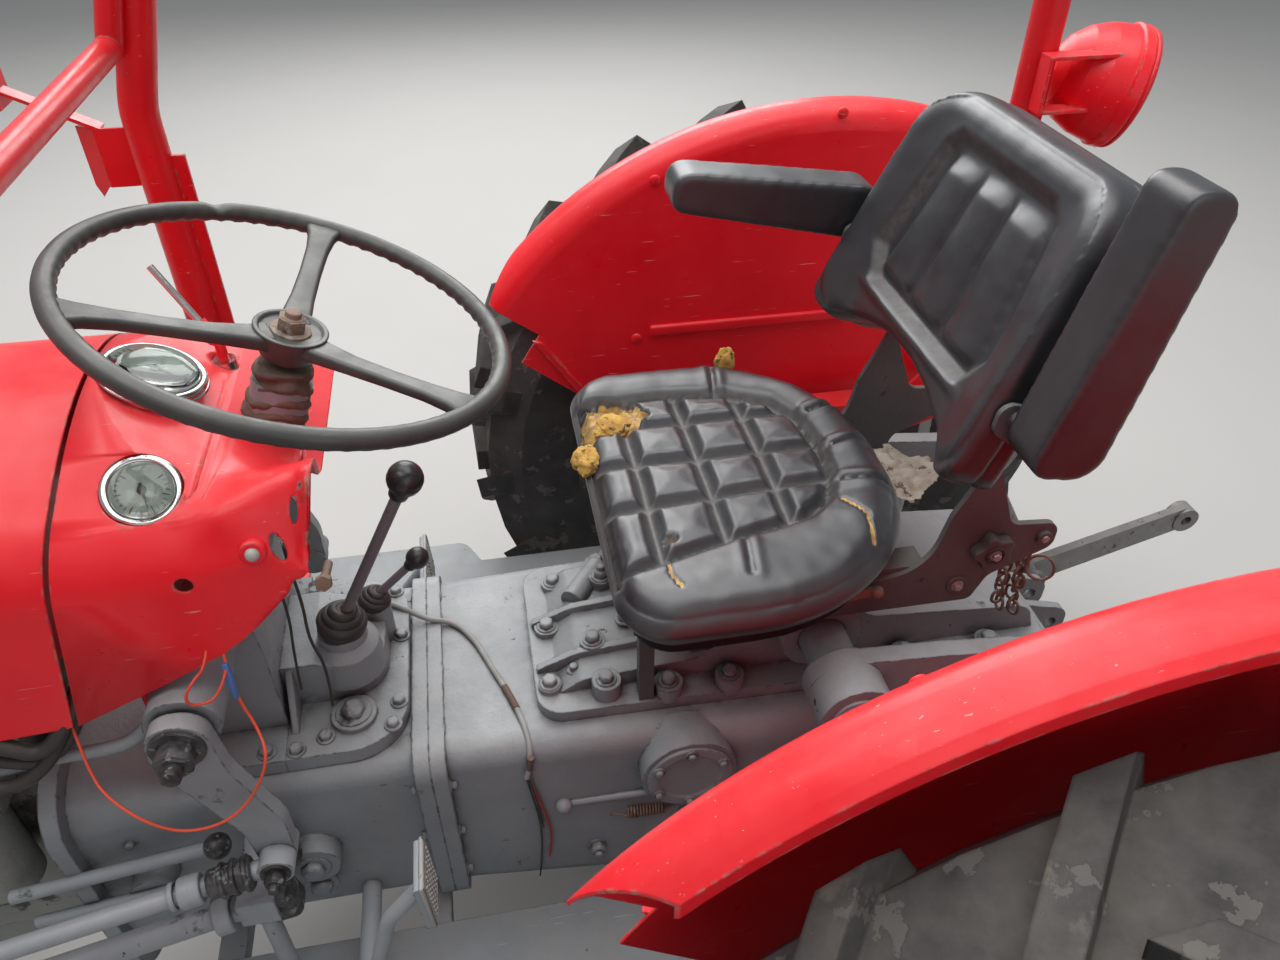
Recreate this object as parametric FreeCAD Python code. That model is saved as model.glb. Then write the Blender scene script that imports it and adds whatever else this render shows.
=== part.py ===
import FreeCAD, Part
import math
import os
from FreeCAD import Placement, Rotation, Vector

os.makedirs("parts", exist_ok=True)

# Compact farm tractor with a four-post safety frame. Millimetres, +X forward, +Y left, +Z up.
# Every x below is measured from the rear axle. save() moves the finished pieces so that the
# origin lies on the floor under the middle of the overall length.

# Running gear. Heights follow the rear axle, lengths follow the gearbox joint.
rear_radius = 610
rear_width = 280
rear_centre_y = 700
rear_seat_radius = 300
front_radius = 365
front_width = 165
front_centre_y = 680
front_seat_radius = 203
rim_wall = 6
lug_height = 26
lug_count = 19
lug_width = 46
lug_angle = 42
rib_height = 9
front_tyre_sides = 30

# Castings on the centre line
case_top = rear_radius + 142
case_bottom = rear_radius - 149
case_half = 165
joint_x = 690
bell_x = joint_x + 430
bell_half = 190
bell_top = case_top + 48
bell_bottom = case_bottom - 36
rear_case_half = 190
rear_case_x = -150
flange_thick = 20
flange_proud = 14
lid_top = case_top + 22
axle_flange_y = 500
axle_flange_radius = 95
axle_root_radius = 112
brake_radius = 176
spigot_radius = 35
spigot_length = 30
running_fit = 0.3
seat_gap = 0.3
hub_gap = 6

# Engine
engine_length = 570
engine_front = bell_x + engine_length
wheelbase = engine_front + 140
block_half = 115
block_top = case_top + 18
block_bottom = case_bottom + 9
sump_bottom = block_bottom - 75
head_top = block_top + 110
cover_top = head_top + 50
crank_z = block_bottom + 90
fan_z = head_top - 30
fan_radius = 170
radiator_rear = engine_front + 62
radiator_front = radiator_rear + 58
radiator_half = 180
radiator_top = cover_top + 190
tank_low = cover_top + 20
tank_high = tank_low + 180
tank_half = 150
exhaust_y = -185
hose_x = engine_front - 22

# Front support and axle
bolster_front = wheelbase + 105
bolster_half = 130
beam_z = block_bottom + 70
beam_height = 70
beam_width = 60
bolster_top = beam_z + 100
kingpin_y = 540
kingpin_radius = 16
kingpin_boss = 35
arm_radius = 130
arm_top = beam_z + 126
arm_thick = 16
spindle_radius = 18
axle_pin_radius = 24
pulley_room = 52
bolt_span_y = 100
bolt_span_z = 76
bolt_z = beam_z - 5
bolt_hole_radius = 8.5

# Steering
wheel_x = joint_x + 60
wheel_z = case_top + 538
wheel_radius = 215
wheel_rim = 10
spoke_turn = 26
wheel_tilt = 20
wheel_dish = 30
column_radius = 20
shaft_radius = 10
column_top_z = wheel_z - 62
boot_low_z = wheel_z - 110
cross_shaft_x = joint_x + 220
cross_shaft_z = case_top + 203
cross_shaft_radius = 15
drop_x = cross_shaft_x - 50
drop_z = case_top - 4
drop_y = 236
drop_thick = 20
drop_pin = 8
link_radius = 11
link_front_z = arm_top + 25

# Hood and cowl
hood_top = wheel_z - 39
hood_front = wheelbase + 75
hood_low_half = 222
hood_high_half = 212
crown_round = 280
crown_rise = 45
shoulder_round = 90
shoulder_drop = 86
hood_bottom = case_top + 210
hood_front_bottom = hood_bottom - 62
sheet = 3
seam_gap = 5
seam_top_x = joint_x + 265
seam_bottom_x = seam_top_x + 55
nose_x = wheelbase + 160
nose_bottom = beam_z + 172
hinge_x = wheelbase + 120
hinge_z = bolster_top + 50
hinge_pin = 8
grille_bars = 11
cowl_rear_x = wheel_x + 3
cowl_rear_top = hood_top - 129
cowl_rear_low = hood_top - 133
cowl_rear_half = 200
cowl_knee_x = cowl_rear_x + 92
cowl_knee_z = hood_top - 61
cowl_curve_x = cowl_rear_x + 82
cowl_curve_z = hood_top - 211
bulkhead_x = seam_top_x + 15
bulkhead_thick = 4
throttle_x = cowl_rear_x + 100
throttle_y = -80
throttle_z = hood_top - 53

# Fenders and footplates
fender_radius = rear_radius + 75
fender_y = axle_flange_y
fender_outer_y = fender_y + 76
fender_start = 36
fender_end = 152
foot_z = case_bottom - 30
foot_thick = 4
foot_front = joint_x + 350
foot_rear = joint_x - 420
foot_inner = 200
foot_outer = 600

# Safety frame
post_radius = 25.5
front_post_x = joint_x + 310
front_post_y = 550
rear_post_x = -290
rear_post_y = 460
bend_z = case_top + 583
roof_z = 2090
roof_tube = 40
post_lean = 15.6
screen_low = bend_z + 90
screen_radius = 17
lamp_radius = 87

# Lift
lift_x = 190
lift_z = case_top + 103
lift_shaft_radius = 30
lift_arm_y = 205
lift_arm_thick = 24
lift_hub_radius = 46
lift_end_x = -200
lift_end_z = lift_z - 25
link_pivot_x = -40
link_pivot_z = rear_radius - 180
link_pivot_y = 205
link_pin_radius = 11
link_end_x = -850
link_end_y = 410
link_thick = 18
link_height = 56
ball_bore = 11.2
ball_width = 35
ball_radius = 28
rod_x = -445
rod_top_y = (lift_arm_y + lift_arm_thick + seat_gap, lift_arm_y + lift_arm_thick + 22)
rod_low_y = (280, 292)
lift_hump = 52

# Seat
cushion_rear = 86
cushion_front = 455
cushion_half = 246
cushion_top = case_top + 279
cushion_thick = 68
back_low_half = 219
back_high_half = 192
back_low_x = 110
back_low_z = cushion_top + 99
back_height = 325
back_thick = 85
back_wrap = 28
back_lean = 22
pivot_x = 62
pivot_z = cushion_top + 191
armrest_y = 226
armrest_width = 60
armrest_length = 285
armrest_tail = 28
armrest_rise = 8.6
armrest_folded = 100

# Hitch points
pto_z = rear_radius - 35
pto_radius = 17.5
top_link_x = -225
top_link_z = rear_radius + 80
top_link_bore = 9.75
drawbar_x = -465
drawbar_bore = 13

sides = (("left", 1), ("right", -1))
front_reach = wheelbase + front_radius
rear_reach = ball_radius - link_end_x
origin_x = (front_reach - rear_reach) / 2


def box(x0, x1, y0, y1, z0, z1):
    low = Vector(min(x0, x1), min(y0, y1), min(z0, z1))
    return Part.makeBox(abs(x1 - x0), abs(y1 - y0), abs(z1 - z0), low)


def rod(start, end, radius):
    axis = Vector(*end) - Vector(*start)
    return Part.makeCylinder(radius, axis.Length, Vector(*start), axis)


def outline(corners, place):
    """Closed wire through (a, b) or (a, b, radius) corners, with an arc at each rounded one."""
    spots = [Vector(corner[0], corner[1], 0) for corner in corners]
    turns = []
    for index, corner in enumerate(corners):
        here = spots[index]
        radius = corner[2] if len(corner) > 2 else 0
        if radius == 0:
            turns.append((here, None, here))
            continue
        back = (spots[index - 1] - here).normalize()
        ahead = (spots[(index + 1) % len(spots)] - here).normalize()
        half = back.getAngle(ahead) / 2
        reach = radius / math.tan(half)
        inward = (back + ahead).normalize()
        middle = here + inward * (radius / math.sin(half) - radius)
        turns.append((here + back * reach, middle, here + ahead * reach))
    edges = []
    for index, (start, middle, end) in enumerate(turns):
        if middle:
            edges.append(Part.Arc(place(start), place(middle), place(end)).toShape())
        following = turns[(index + 1) % len(turns)][0]
        if (following - end).Length > 1e-4:
            edges.append(Part.LineSegment(place(end), place(following)).toShape())
    return Part.Wire(edges)


def plane_at(axis, offset):
    places = {
        "x": lambda spot: Vector(offset, spot.x, spot.y),
        "y": lambda spot: Vector(spot.x, offset, spot.y),
        "z": lambda spot: Vector(spot.x, spot.y, offset),
    }
    return places[axis]


def plate(corners, axis, low, high):
    """Solid with the outline of the corners, from low to high along the axis."""
    along = {"x": Vector(1, 0, 0), "y": Vector(0, 1, 0), "z": Vector(0, 0, 1)}[axis]
    face = Part.Face(outline(corners, plane_at(axis, low)))
    return face.extrude(along * (high - low))


def loft(sections, ruled=True):
    """Solid through outlines given as (x, corners), each across the tractor."""
    wires = [outline(corners, plane_at("x", x)) for x, corners in sections]
    return Part.makeLoft(wires, True, ruled)


def turned(profile, centre, axis):
    """Solid of revolution from (radius, height) corners about the axis through the centre."""
    face = Part.Face(outline(profile, lambda spot: Vector(spot.x, 0, spot.y)))
    shape = face.revolve(Vector(0, 0, 0), Vector(0, 0, 1), 360)
    shape.Placement = Placement(Vector(*centre), Rotation(Vector(0, 0, 1), Vector(*axis)))
    return shape


def pipe(points, radius, bend):
    """Round bar along straight runs joined by tangent arcs."""
    spots = [Vector(*point) for point in points]
    edges = []
    start = spots[0]
    for before, here, after in zip(spots, spots[1:], spots[2:]):
        back = (before - here).normalize()
        ahead = (after - here).normalize()
        half = back.getAngle(ahead) / 2
        reach = bend / math.tan(half)
        inward = (back + ahead).normalize()
        arc_start = here + back * reach
        arc_end = here + ahead * reach
        middle = here + inward * (bend / math.sin(half) - bend)
        edges.append(Part.LineSegment(start, arc_start).toShape())
        edges.append(Part.Arc(arc_start, middle, arc_end).toShape())
        start = arc_end
    edges.append(Part.LineSegment(start, spots[-1]).toShape())
    first = spots[1] - spots[0]
    ring = Part.Wire(Part.makeCircle(radius, spots[0], first))
    return Part.Wire(edges).makePipeShell([ring], True, False)


def fused(shapes):
    return shapes[0].fuse(shapes[1:]).removeSplitter()


def mirrored(shape):
    return shape.mirror(Vector(0, 0, 0), Vector(0, 1, 0))


def turn(shape, centre, axis, degrees):
    moved = shape.copy()
    moved.rotate(Vector(*centre), Vector(*axis), degrees)
    return moved


def save(name, shape):
    placed = shape.copy()
    placed.translate(Vector(-origin_x, 0, 0))
    placed.exportStep("parts/" + name + ".step")


def save_pair(name, left):
    """One node for a piece and its mirror image on the other side."""
    save(name, Part.makeCompound([left, mirrored(left)]))


def save_sides(name, left):
    """A node for each side, the right one the mirror image of the left."""
    save(name + "_left", left)
    save(name + "_right", mirrored(left))


def frame_section(half, low, high, radius):
    return [(-half, low, radius), (half, low, radius), (half, high, radius), (-half, high, radius)]


# Engine: one block with sump, head, rocker cover and what hangs on its sides
def engine():
    sump = plate([(bell_x, sump_bottom + 20, 20), (bell_x + 240, sump_bottom, 30),
                  (engine_front - 180, sump_bottom, 40), (engine_front - 60, block_bottom),
                  (bell_x, block_bottom)], "y", -block_half + 18, block_half - 18)
    block = box(bell_x, engine_front, -block_half, block_half, block_bottom, block_top)
    head = box(bell_x + 30, engine_front - 10, -block_half + 12, block_half - 12, block_top, head_top)
    cover = plate([(-62, head_top), (62, head_top), (62, cover_top, 18), (-62, cover_top, 18)],
                  "x", bell_x + 70, engine_front - 50)
    timing = plate(frame_section(block_half - 10, crank_z - 75, block_top, 40), "x",
                   engine_front - 2, engine_front + 14)
    pulley = rod((engine_front + 14, 0, crank_z), (engine_front + 40, 0, crank_z), 66)
    pump = rod((engine_front - 12, 0, fan_z), (engine_front + 26, 0, fan_z), 38)
    pieces = [sump, block, head, cover, timing, pulley, pump]
    # name, start x, end x, centre y, centre z, radius: round pieces that lie along the engine
    round_pieces = (
        ("starter", bell_x, bell_x + 210, -152, crank_z - 15, 46),
        ("dynamo", engine_front - 190, engine_front - 20, -158, crank_z + 130, 52),
        ("dynamo pulley", engine_front - 20, engine_front + 30, -158, crank_z + 130, 34),
    )
    for name, x0, x1, y, z, radius in round_pieces:
        pieces.append(rod((x0, y, z), (x1, y, z), radius))
    pieces.append(box(engine_front - 170, engine_front - 60, -150, -block_half, crank_z + 80,
                      crank_z + 175))
    pump_top = crank_z + 130
    pieces.append(box(bell_x + 240, bell_x + 420, block_half, 188, pump_top - 105, pump_top))
    for step in range(4):
        x = bell_x + 265 + step * 42
        pieces.append(rod((x, 158, pump_top), (x, 158, pump_top + 28), 9))
    for x in (bell_x + 90, bell_x + 180):
        pieces.append(rod((x, 156, block_top - 130), (x, 156, block_top + 20), 38))
    pieces.append(box(bell_x + 50, bell_x + 220, block_half - 5, 160, block_top - 5, block_top + 30))
    return fused(pieces)


def exhaust():
    """Manifold, down pipe, silencer and tail pipe on the right of the engine."""
    manifold = box(bell_x + 120, engine_front - 90, -block_half - 38, -block_half + 12, block_top + 35,
                   block_top + 85)
    pipe_x = bell_x + 200
    pipe_y = exhaust_y - 45
    low = block_bottom - 5
    down = pipe([(pipe_x, exhaust_y + 50, block_top + 60), (pipe_x, pipe_y, block_top - 10),
                 (pipe_x, pipe_y, low + 135), (pipe_x - 30, pipe_y, low + 15)], 21, 30)
    silencer = rod((pipe_x + 190, pipe_y, low), (pipe_x - 190, pipe_y, low), 48)
    tail = rod((pipe_x - 190, pipe_y, low), (pipe_x - 270, pipe_y, low), 19)
    return fused([manifold, down, silencer, tail])


def front_bolster():
    """Casting bolted to the engine front that holds the axle pin, the radiator and the hood hinge."""
    rear_x = wheelbase - beam_width / 2 - hub_gap
    front_x = wheelbase + beam_width / 2 + hub_gap
    top = box(engine_front, bolster_front, -bolster_half, bolster_half, beam_z + 55, bolster_top)
    back_leg = box(engine_front, rear_x, -70, 70, beam_z - 60, beam_z + 55)
    front_leg = box(front_x, front_x + 45, -70, 70, beam_z - 60, beam_z + 55)
    pin = rod((rear_x, 0, beam_z), (front_x, 0, beam_z), axle_pin_radius)
    shelf = box(radiator_rear - 10, radiator_front + 10, -radiator_half, radiator_half,
                bolster_top - 12, bolster_top)
    ears = []
    for y in (-150, 118):
        ears.append(plate([(bolster_front - 60, bolster_top - 30), (hinge_x + 18, hinge_z - 18, 16),
                           (hinge_x + 18, hinge_z + 18, 16), (hinge_x - 30, hinge_z + 18)],
                          "y", y, y + 32))
    hinge = rod((hinge_x, -172, hinge_z), (hinge_x, 172, hinge_z), hinge_pin)
    shelf_ears = box(bolster_front - 60, bolster_front, -150, 150, bolster_top - 30, bolster_top)
    shape = fused([top, back_leg, front_leg, pin, shelf, shelf_ears, hinge] + ears)
    shape = shape.cut(box(engine_front - 1, engine_front + pulley_room, -block_half + 6, block_half - 6,
                          beam_z - 150, bolster_top + 50))
    for y in (-bolt_span_y / 2, bolt_span_y / 2):
        for z in (bolt_z - bolt_span_z / 2, bolt_z + bolt_span_z / 2):
            shape = shape.cut(rod((front_x, y, z), (front_x + 50, y, z), bolt_hole_radius))
    return shape


def front_axle():
    """Pivoting beam with a kingpin boss at each end."""
    low = beam_z - beam_height / 2
    high = beam_z + beam_height / 2
    deep = 22
    corners = [(-kingpin_y, low), (-170, low, 60), (-70, low - deep, 60), (70, low - deep, 60),
               (170, low, 60),
               (kingpin_y, low), (kingpin_y, high), (-kingpin_y, high)]
    beam = plate(corners, "x", wheelbase - beam_width / 2, wheelbase + beam_width / 2)
    beam = beam.cut(rod((wheelbase - beam_width, 0, beam_z), (wheelbase + beam_width, 0, beam_z),
                        axle_pin_radius + running_fit))
    pieces = [beam]
    for name, side in sides:
        pieces.append(rod((wheelbase, side * kingpin_y, beam_z - 60),
                          (wheelbase, side * kingpin_y, beam_z + 80), kingpin_boss))
    shape = fused(pieces)
    for name, side in sides:
        shape = shape.cut(rod((wheelbase, side * kingpin_y, beam_z - 61),
                              (wheelbase, side * kingpin_y, beam_z + 81),
                              kingpin_radius + running_fit))
    return shape


def radius_rod():
    """Strut from the clutch housing to the top of the axle beam, with its stay on the footplate."""
    rear_x = joint_x + 210
    rear_z = case_top - 91
    beam_top = beam_z + beam_height / 2
    strut = rod((rear_x, 258, rear_z), (wheelbase - 14, 390, beam_top + 16), 15)
    bracket = box(rear_x - 22, rear_x + 22, case_half, 275, rear_z - 21, rear_z + 21)
    stay = rod((rear_x - 4, 262, rear_z), (rear_x - 4, 262, foot_z + seat_gap), 11)
    foot = box(wheelbase - 40, wheelbase + 12, 372, 408, beam_top, beam_top + 30)
    return fused([strut, bracket, stay, foot])


def radiator():
    core = box(radiator_rear, radiator_front, -radiator_half, radiator_half, bolster_top + 40,
               radiator_top - 60)
    low_tank = box(radiator_rear - 6, radiator_front + 6, -radiator_half, radiator_half,
                   bolster_top, bolster_top + 40)
    top_tank = plate([(-radiator_half, radiator_top - 60), (radiator_half, radiator_top - 60),
                      (radiator_half, radiator_top, 25), (-radiator_half, radiator_top, 25)],
                     "x", radiator_rear - 6, radiator_front + 6)
    neck_x = (radiator_rear + radiator_front) / 2
    neck = rod((neck_x, 0, radiator_top), (neck_x, 0, radiator_top + 22), 28)
    hose = pipe([(radiator_rear - 6, 60, radiator_top - 30), (hose_x, 60, radiator_top - 30),
                 (hose_x, 60, head_top + seat_gap)], 19, 20)
    return fused([core, low_tank, top_tank, neck, hose])


def cooling_fan():
    start = engine_front + 26
    hub = rod((start, 0, fan_z), (start + 24, 0, fan_z), 34)
    pieces = [hub]
    blade = box(start + 11, start + 14, -32, 32, fan_z + 20, fan_z + fan_radius)
    blade = turn(blade, (start + 12, 0, fan_z), (0, 0, 1), 16)
    for step in range(4):
        pieces.append(turn(blade, (start + 12, 0, fan_z), (1, 0, 0), 45 + 90 * step))
    return fused(pieces)


def fuel_tank():
    tank = plate([(-tank_half, tank_low, 40), (tank_half, tank_low, 40), (tank_half, tank_high, 60),
                  (-tank_half, tank_high, 60)], "x", bell_x - 60, bell_x + 400)
    saddles = []
    for x in (bell_x + 90, bell_x + 320):
        saddles.append(box(x, x + 30, -60, 60, cover_top, tank_low))
    cap = rod((bell_x + 60, 0, tank_high), (bell_x + 60, 0, tank_high + 26), 34)
    return fused([tank, cap] + saddles)


# Castings from the engine to the rear
def clutch_housing():
    """Bell and intermediate case with its flanges, side bosses and the ledge along its upper edge."""
    body = loft([(bell_x, frame_section(bell_half, bell_bottom, bell_top, 70)),
                 (joint_x + 280, frame_section(case_half, case_bottom, case_top, 30)),
                 (joint_x, frame_section(case_half, case_bottom, case_top, 30))])
    front = plate(frame_section(bell_half + flange_proud, bell_bottom - flange_proud,
                                bell_top + flange_proud, 76),
                  "x", bell_x - flange_thick, bell_x)
    rear = plate(frame_section(case_half + flange_proud, case_bottom - flange_proud, case_top + 6, 34),
                 "x", joint_x, joint_x + flange_thick)
    pieces = [body, front, rear]
    # x and z of the boss, its radius and how far it stands out
    for x, z, radius, proud in ((joint_x + 165, case_top - 146, 34, 26),
                                (joint_x + 165, case_top - 198, 20, 18),
                                (joint_x + 350, case_top - 124, 26, 40)):
        for name, side in sides:
            pieces.append(rod((x, side * (case_half - 20), z), (x, side * (case_half + proud), z), radius))
    return fused(pieces)


def gearbox_cover():
    """Round-ended cover plate with the lever housing, its turret, a gusset and the filler plug disc."""
    rear_x = joint_x + flange_thick + 2
    front_x = cross_shaft_x - 52
    half = case_half - 16
    lid = plate([(rear_x, -half, 70), (front_x, -half), (front_x, half), (rear_x, half, 70)],
                "z", case_top, lid_top)
    wall = plate([(rear_x + 24, -64, 52), (front_x, -64), (front_x, 66), (rear_x + 24, 66, 52)],
                 "z", lid_top, lid_top + 70)
    slope = plate([(rear_x, lid_top), (front_x, lid_top), (front_x, lid_top + 70),
                   (front_x - 40, lid_top + 70, 8),
                   (rear_x + 24, lid_top + 42)], "y", -100, 100)
    turret = turned([(0, 20), (46, 20), (42, 62), (30, 74), (30, 88), (0, 88)], (782, 26, lid_top),
                    (0, 0, 1))
    boss = rod((750, -40, lid_top), (750, -40, lid_top + 60), 22)
    gusset = plate([(60, lid_top), (112, lid_top), (64, lid_top + 68)], "x", front_x - 14, front_x - 6)
    disc = rod((778, 96, lid_top), (778, 96, lid_top + 7), 28)
    return fused([lid, wall.common(slope), turret, boss, gusset, disc])


def gear_levers():
    # base x, base y, base z, knob x, knob y, knob z, rod radius, ball radius
    levers = ((782, 26, lid_top + 88 + seat_gap, 670, 30, case_top + 335, 7, 20),
              (750, -40, lid_top + 60 + seat_gap, 682, -40, case_top + 152, 5.5, 14))
    pieces = []
    for x0, y0, z0, x1, y1, z1, thin, ball in levers:
        foot = Part.makeCone(thin * 3.4, thin * 2.4, 18, Vector(x0, y0, z0))
        bar = rod((x0, y0, z0 + 6), (x1, y1, z1), thin)
        pieces.append(fused([foot, bar, Part.makeSphere(ball, Vector(x1, y1, z1))]))
    return Part.makeCompound(pieces)


def centre_housing():
    """Gearbox and rear transmission case, with side covers and the lower link pins."""
    body = loft([(joint_x - seat_gap, frame_section(case_half, case_bottom, case_top, 30)),
                 (joint_x - 260, frame_section(case_half + 12, case_bottom - 20, case_top, 30)),
                 (joint_x - 390, frame_section(rear_case_half, case_bottom - 25, case_top, 40)),
                 (rear_case_x, frame_section(rear_case_half, case_bottom - 25, case_top, 40))])
    front = plate(frame_section(case_half + flange_proud, case_bottom - flange_proud, case_top + 6, 34),
                  "x", joint_x - flange_thick, joint_x - seat_gap)
    pieces = [body, front]
    for name, side in sides:
        pieces.append(rod((368, side * 150, case_top - 57), (368, side * 204, case_top - 57), 62))
        pieces.append(box(link_pivot_x - 45, link_pivot_x + 45, side * 150, side * (link_pivot_y - 6),
                          link_pivot_z - 25, link_pivot_z + 50))
        pieces.append(rod((link_pivot_x, side * 180, link_pivot_z), (link_pivot_x, side * 240,
                                                                     link_pivot_z),
                          link_pin_radius))
    return fused(pieces)


def axle_tube():
    """Trumpet with its brake housing, outer flange and the spigot that the hub turns on."""
    base = rear_case_half
    drum = axle_flange_y - 150
    profile = [(0, base), (axle_root_radius + 14, base), (axle_root_radius + 14, base + 20),
               (axle_root_radius, base + 20), (axle_root_radius - 6, drum - 30), (brake_radius - 12, drum),
               (brake_radius, drum + 14), (brake_radius, axle_flange_y - 30),
               (brake_radius - 10, axle_flange_y - 16),
               (axle_flange_radius, axle_flange_y - 16),
               (axle_flange_radius, axle_flange_y), (spigot_radius, axle_flange_y),
               (spigot_radius, axle_flange_y + spigot_length), (0, axle_flange_y + spigot_length)]
    return turned(profile, (0, 0, rear_radius), (0, 1, 0))


def rear_cover():
    """Back plate with the power take-off stub and the two ears of the top link bracket."""
    thick = 22
    cover = plate(frame_section(rear_case_half - 14, case_bottom - 12, case_top - 6, 40), "x",
                  rear_case_x - thick, rear_case_x)
    boss = rod((rear_case_x - thick, 0, pto_z), (rear_case_x - thick - 26, 0, pto_z), 52)
    stub = rod((rear_case_x - thick - 26, 0, pto_z), (rear_case_x - thick - 101, 0, pto_z), pto_radius)
    pieces = [cover, boss, stub]
    for side in (1, -1):
        ear = plate([(rear_case_x - thick, top_link_z - 50), (rear_case_x - thick, top_link_z + 46),
                     (top_link_x - 24, top_link_z + 24, 23), (top_link_x - 24, top_link_z - 24, 23)],
                    "y", side * 24, side * 37)
        pieces.append(ear)
    shape = fused(pieces)
    return shape.cut(rod((top_link_x, -60, top_link_z), (top_link_x, 60, top_link_z), top_link_bore))


def lift_cover():
    """Cover with the raised housing of the lift shaft, ribs and bolt pads."""
    foot = plate([(550, -135, 34), (550, 135, 34), (rear_case_x, 150, 20), (rear_case_x, -150, 20)],
                 "z", case_top, case_top + 18)
    shoulder = plate([(520, case_top + 18), (490, case_top + 38, 20), (330, case_top + 50, 60),
                      (lift_x + 62, lift_z - 10, 30), (lift_x + 40, lift_z + lift_hump, 30),
                      (lift_x - 40, lift_z + lift_hump, 30), (lift_x - 75, lift_z - 20, 40),
                      (rear_case_x + 25, case_top + 60, 30), (rear_case_x + 12, case_top + 18)], "y",
                      -104, 104)
    boss = rod((lift_x, -144, lift_z), (lift_x, 144, lift_z), lift_hump)
    pieces = [foot, shoulder, boss]
    # x, y and top of each bolt pad, and its radius
    pads = ((507, -94, 26, 17), (440, -63, 56, 17), (525, -9, 26, 17), (469, 50, 52, 17),
            (460, 112, 42, 19),
            (381, 122, 34, 19), (300, 124, 34, 19), (60, 126, 30, 18), (-60, 126, 30, 18),
            (531, 92, 26, 15),
            (381, -122, 34, 19), (300, -124, 34, 19), (60, -126, 30, 18), (-60, -126, 30, 18),
            (440, -116, 34, 17))
    for x, y, rise, radius in pads:
        pieces.append(rod((x, y, case_top + 10), (x, y, case_top + rise), radius))
    for y in (-20, 62):
        rib = plate([(545, case_top + 16), (545, case_top + 26), (490, case_top + 48, 20),
                     (340, case_top + 62, 60), (lift_x + 60, case_top + 80), (lift_x + 60, case_top + 16)],
                    "y", y - 5, y + 5)
        pieces.append(rib)
    valve = rod((486, -36, case_top + 40), (440, -100, case_top + 40), 17)
    pieces.append(valve)
    shape = fused(pieces)
    return shape.cut(rod((lift_x, -200, lift_z), (lift_x, 200, lift_z), lift_shaft_radius + running_fit))


def lift_arms():
    """Cross shaft with a hub and an arm at each end, and the pins of the lift rods."""
    shaft = rod((lift_x, -lift_arm_y - 30, lift_z), (lift_x, lift_arm_y + 30, lift_z), lift_shaft_radius)
    pieces = [shaft]
    for name, side in sides:
        near = side * lift_arm_y
        far = side * (lift_arm_y + lift_arm_thick)
        hub = rod((lift_x, near, lift_z), (lift_x, side * (lift_arm_y + 68), lift_z), lift_hub_radius)
        arm = plate([(lift_x + 46, lift_z - 44, 40), (lift_x + 46, lift_z + 46, 40),
                     (lift_x - 120, lift_z + 34, 200),
                     (lift_end_x - 26, lift_end_z + 26, 25), (lift_end_x - 26, lift_end_z - 26, 25),
                     (lift_x - 120, lift_z - 34, 200)],
                    "y", min(near, far), max(near, far))
        pin = rod((lift_end_x, near, lift_end_z), (lift_end_x, side * rod_top_y[1], lift_end_z), 10)
        pieces += [hub, arm, pin]
    return fused(pieces)


def lift_rod():
    """Levelling rod from the lift arm to an eye beside the lower link."""
    top = (lift_end_x, (rod_top_y[0] + rod_top_y[1]) / 2, lift_end_z)
    low = (rod_x, (rod_low_y[0] + rod_low_y[1]) / 2, link_pivot_z)
    bar = rod(top, low, 12)
    sleeve = rod(tuple(top[i] + (low[i] - top[i]) * 0.35 for i in range(3)),
                 tuple(top[i] + (low[i] - top[i]) * 0.72 for i in range(3)), 19)
    top_eye = rod((top[0], rod_top_y[0], top[2]), (top[0], rod_top_y[1], top[2]), 22)
    low_eye = rod((low[0], rod_low_y[0], low[2]), (low[0], rod_low_y[1], low[2]), 22)
    shape = fused([bar, sleeve, top_eye, low_eye])
    return shape.cut(rod((top[0], 0, top[2]), (top[0], 2 * rod_top_y[1], top[2]), 10 + running_fit))


def lower_link():
    """Draft link with its front eye on the case pin and a ball eye at the rear."""
    half = link_thick / 2
    middle = link_pivot_y + 12
    bar = plate([(link_pivot_x, middle - half), (link_pivot_x, middle + half),
                 (link_end_x, link_end_y + half), (link_end_x, link_end_y - half)],
                "z", link_pivot_z - link_height / 2, link_pivot_z + link_height / 2)
    front_eye = rod((link_pivot_x, link_pivot_y, link_pivot_z),
                    (link_pivot_x, link_pivot_y + 24, link_pivot_z), link_height / 2 + 2)
    ball = rod((link_end_x, link_end_y - ball_width / 2, link_pivot_z),
               (link_end_x, link_end_y + ball_width / 2, link_pivot_z), ball_radius)
    shape = fused([bar, front_eye, ball])
    shape = shape.cut(rod((link_pivot_x, 0, link_pivot_z), (link_pivot_x, 300, link_pivot_z),
                          link_pin_radius + running_fit))
    return shape.cut(rod((link_end_x, 300, link_pivot_z), (link_end_x, 500, link_pivot_z), ball_bore))


def drawbar():
    bar = box(-40, -500, -32, 32, case_bottom - 25 - 26, case_bottom - 25)
    hanger = box(rear_case_x + 40, rear_case_x + 10, -70, 70, case_bottom - 51, case_bottom - 25)
    shape = fused([bar, hanger])
    return shape.cut(rod((drawbar_x, 0, 300), (drawbar_x, 0, 500), drawbar_bore))


# Steering
def column_point(height):
    """Point on the steering axis at a height above the floor."""
    return (wheel_x + (wheel_z - height) * math.tan(math.radians(wheel_tilt)), 0, height)


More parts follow.
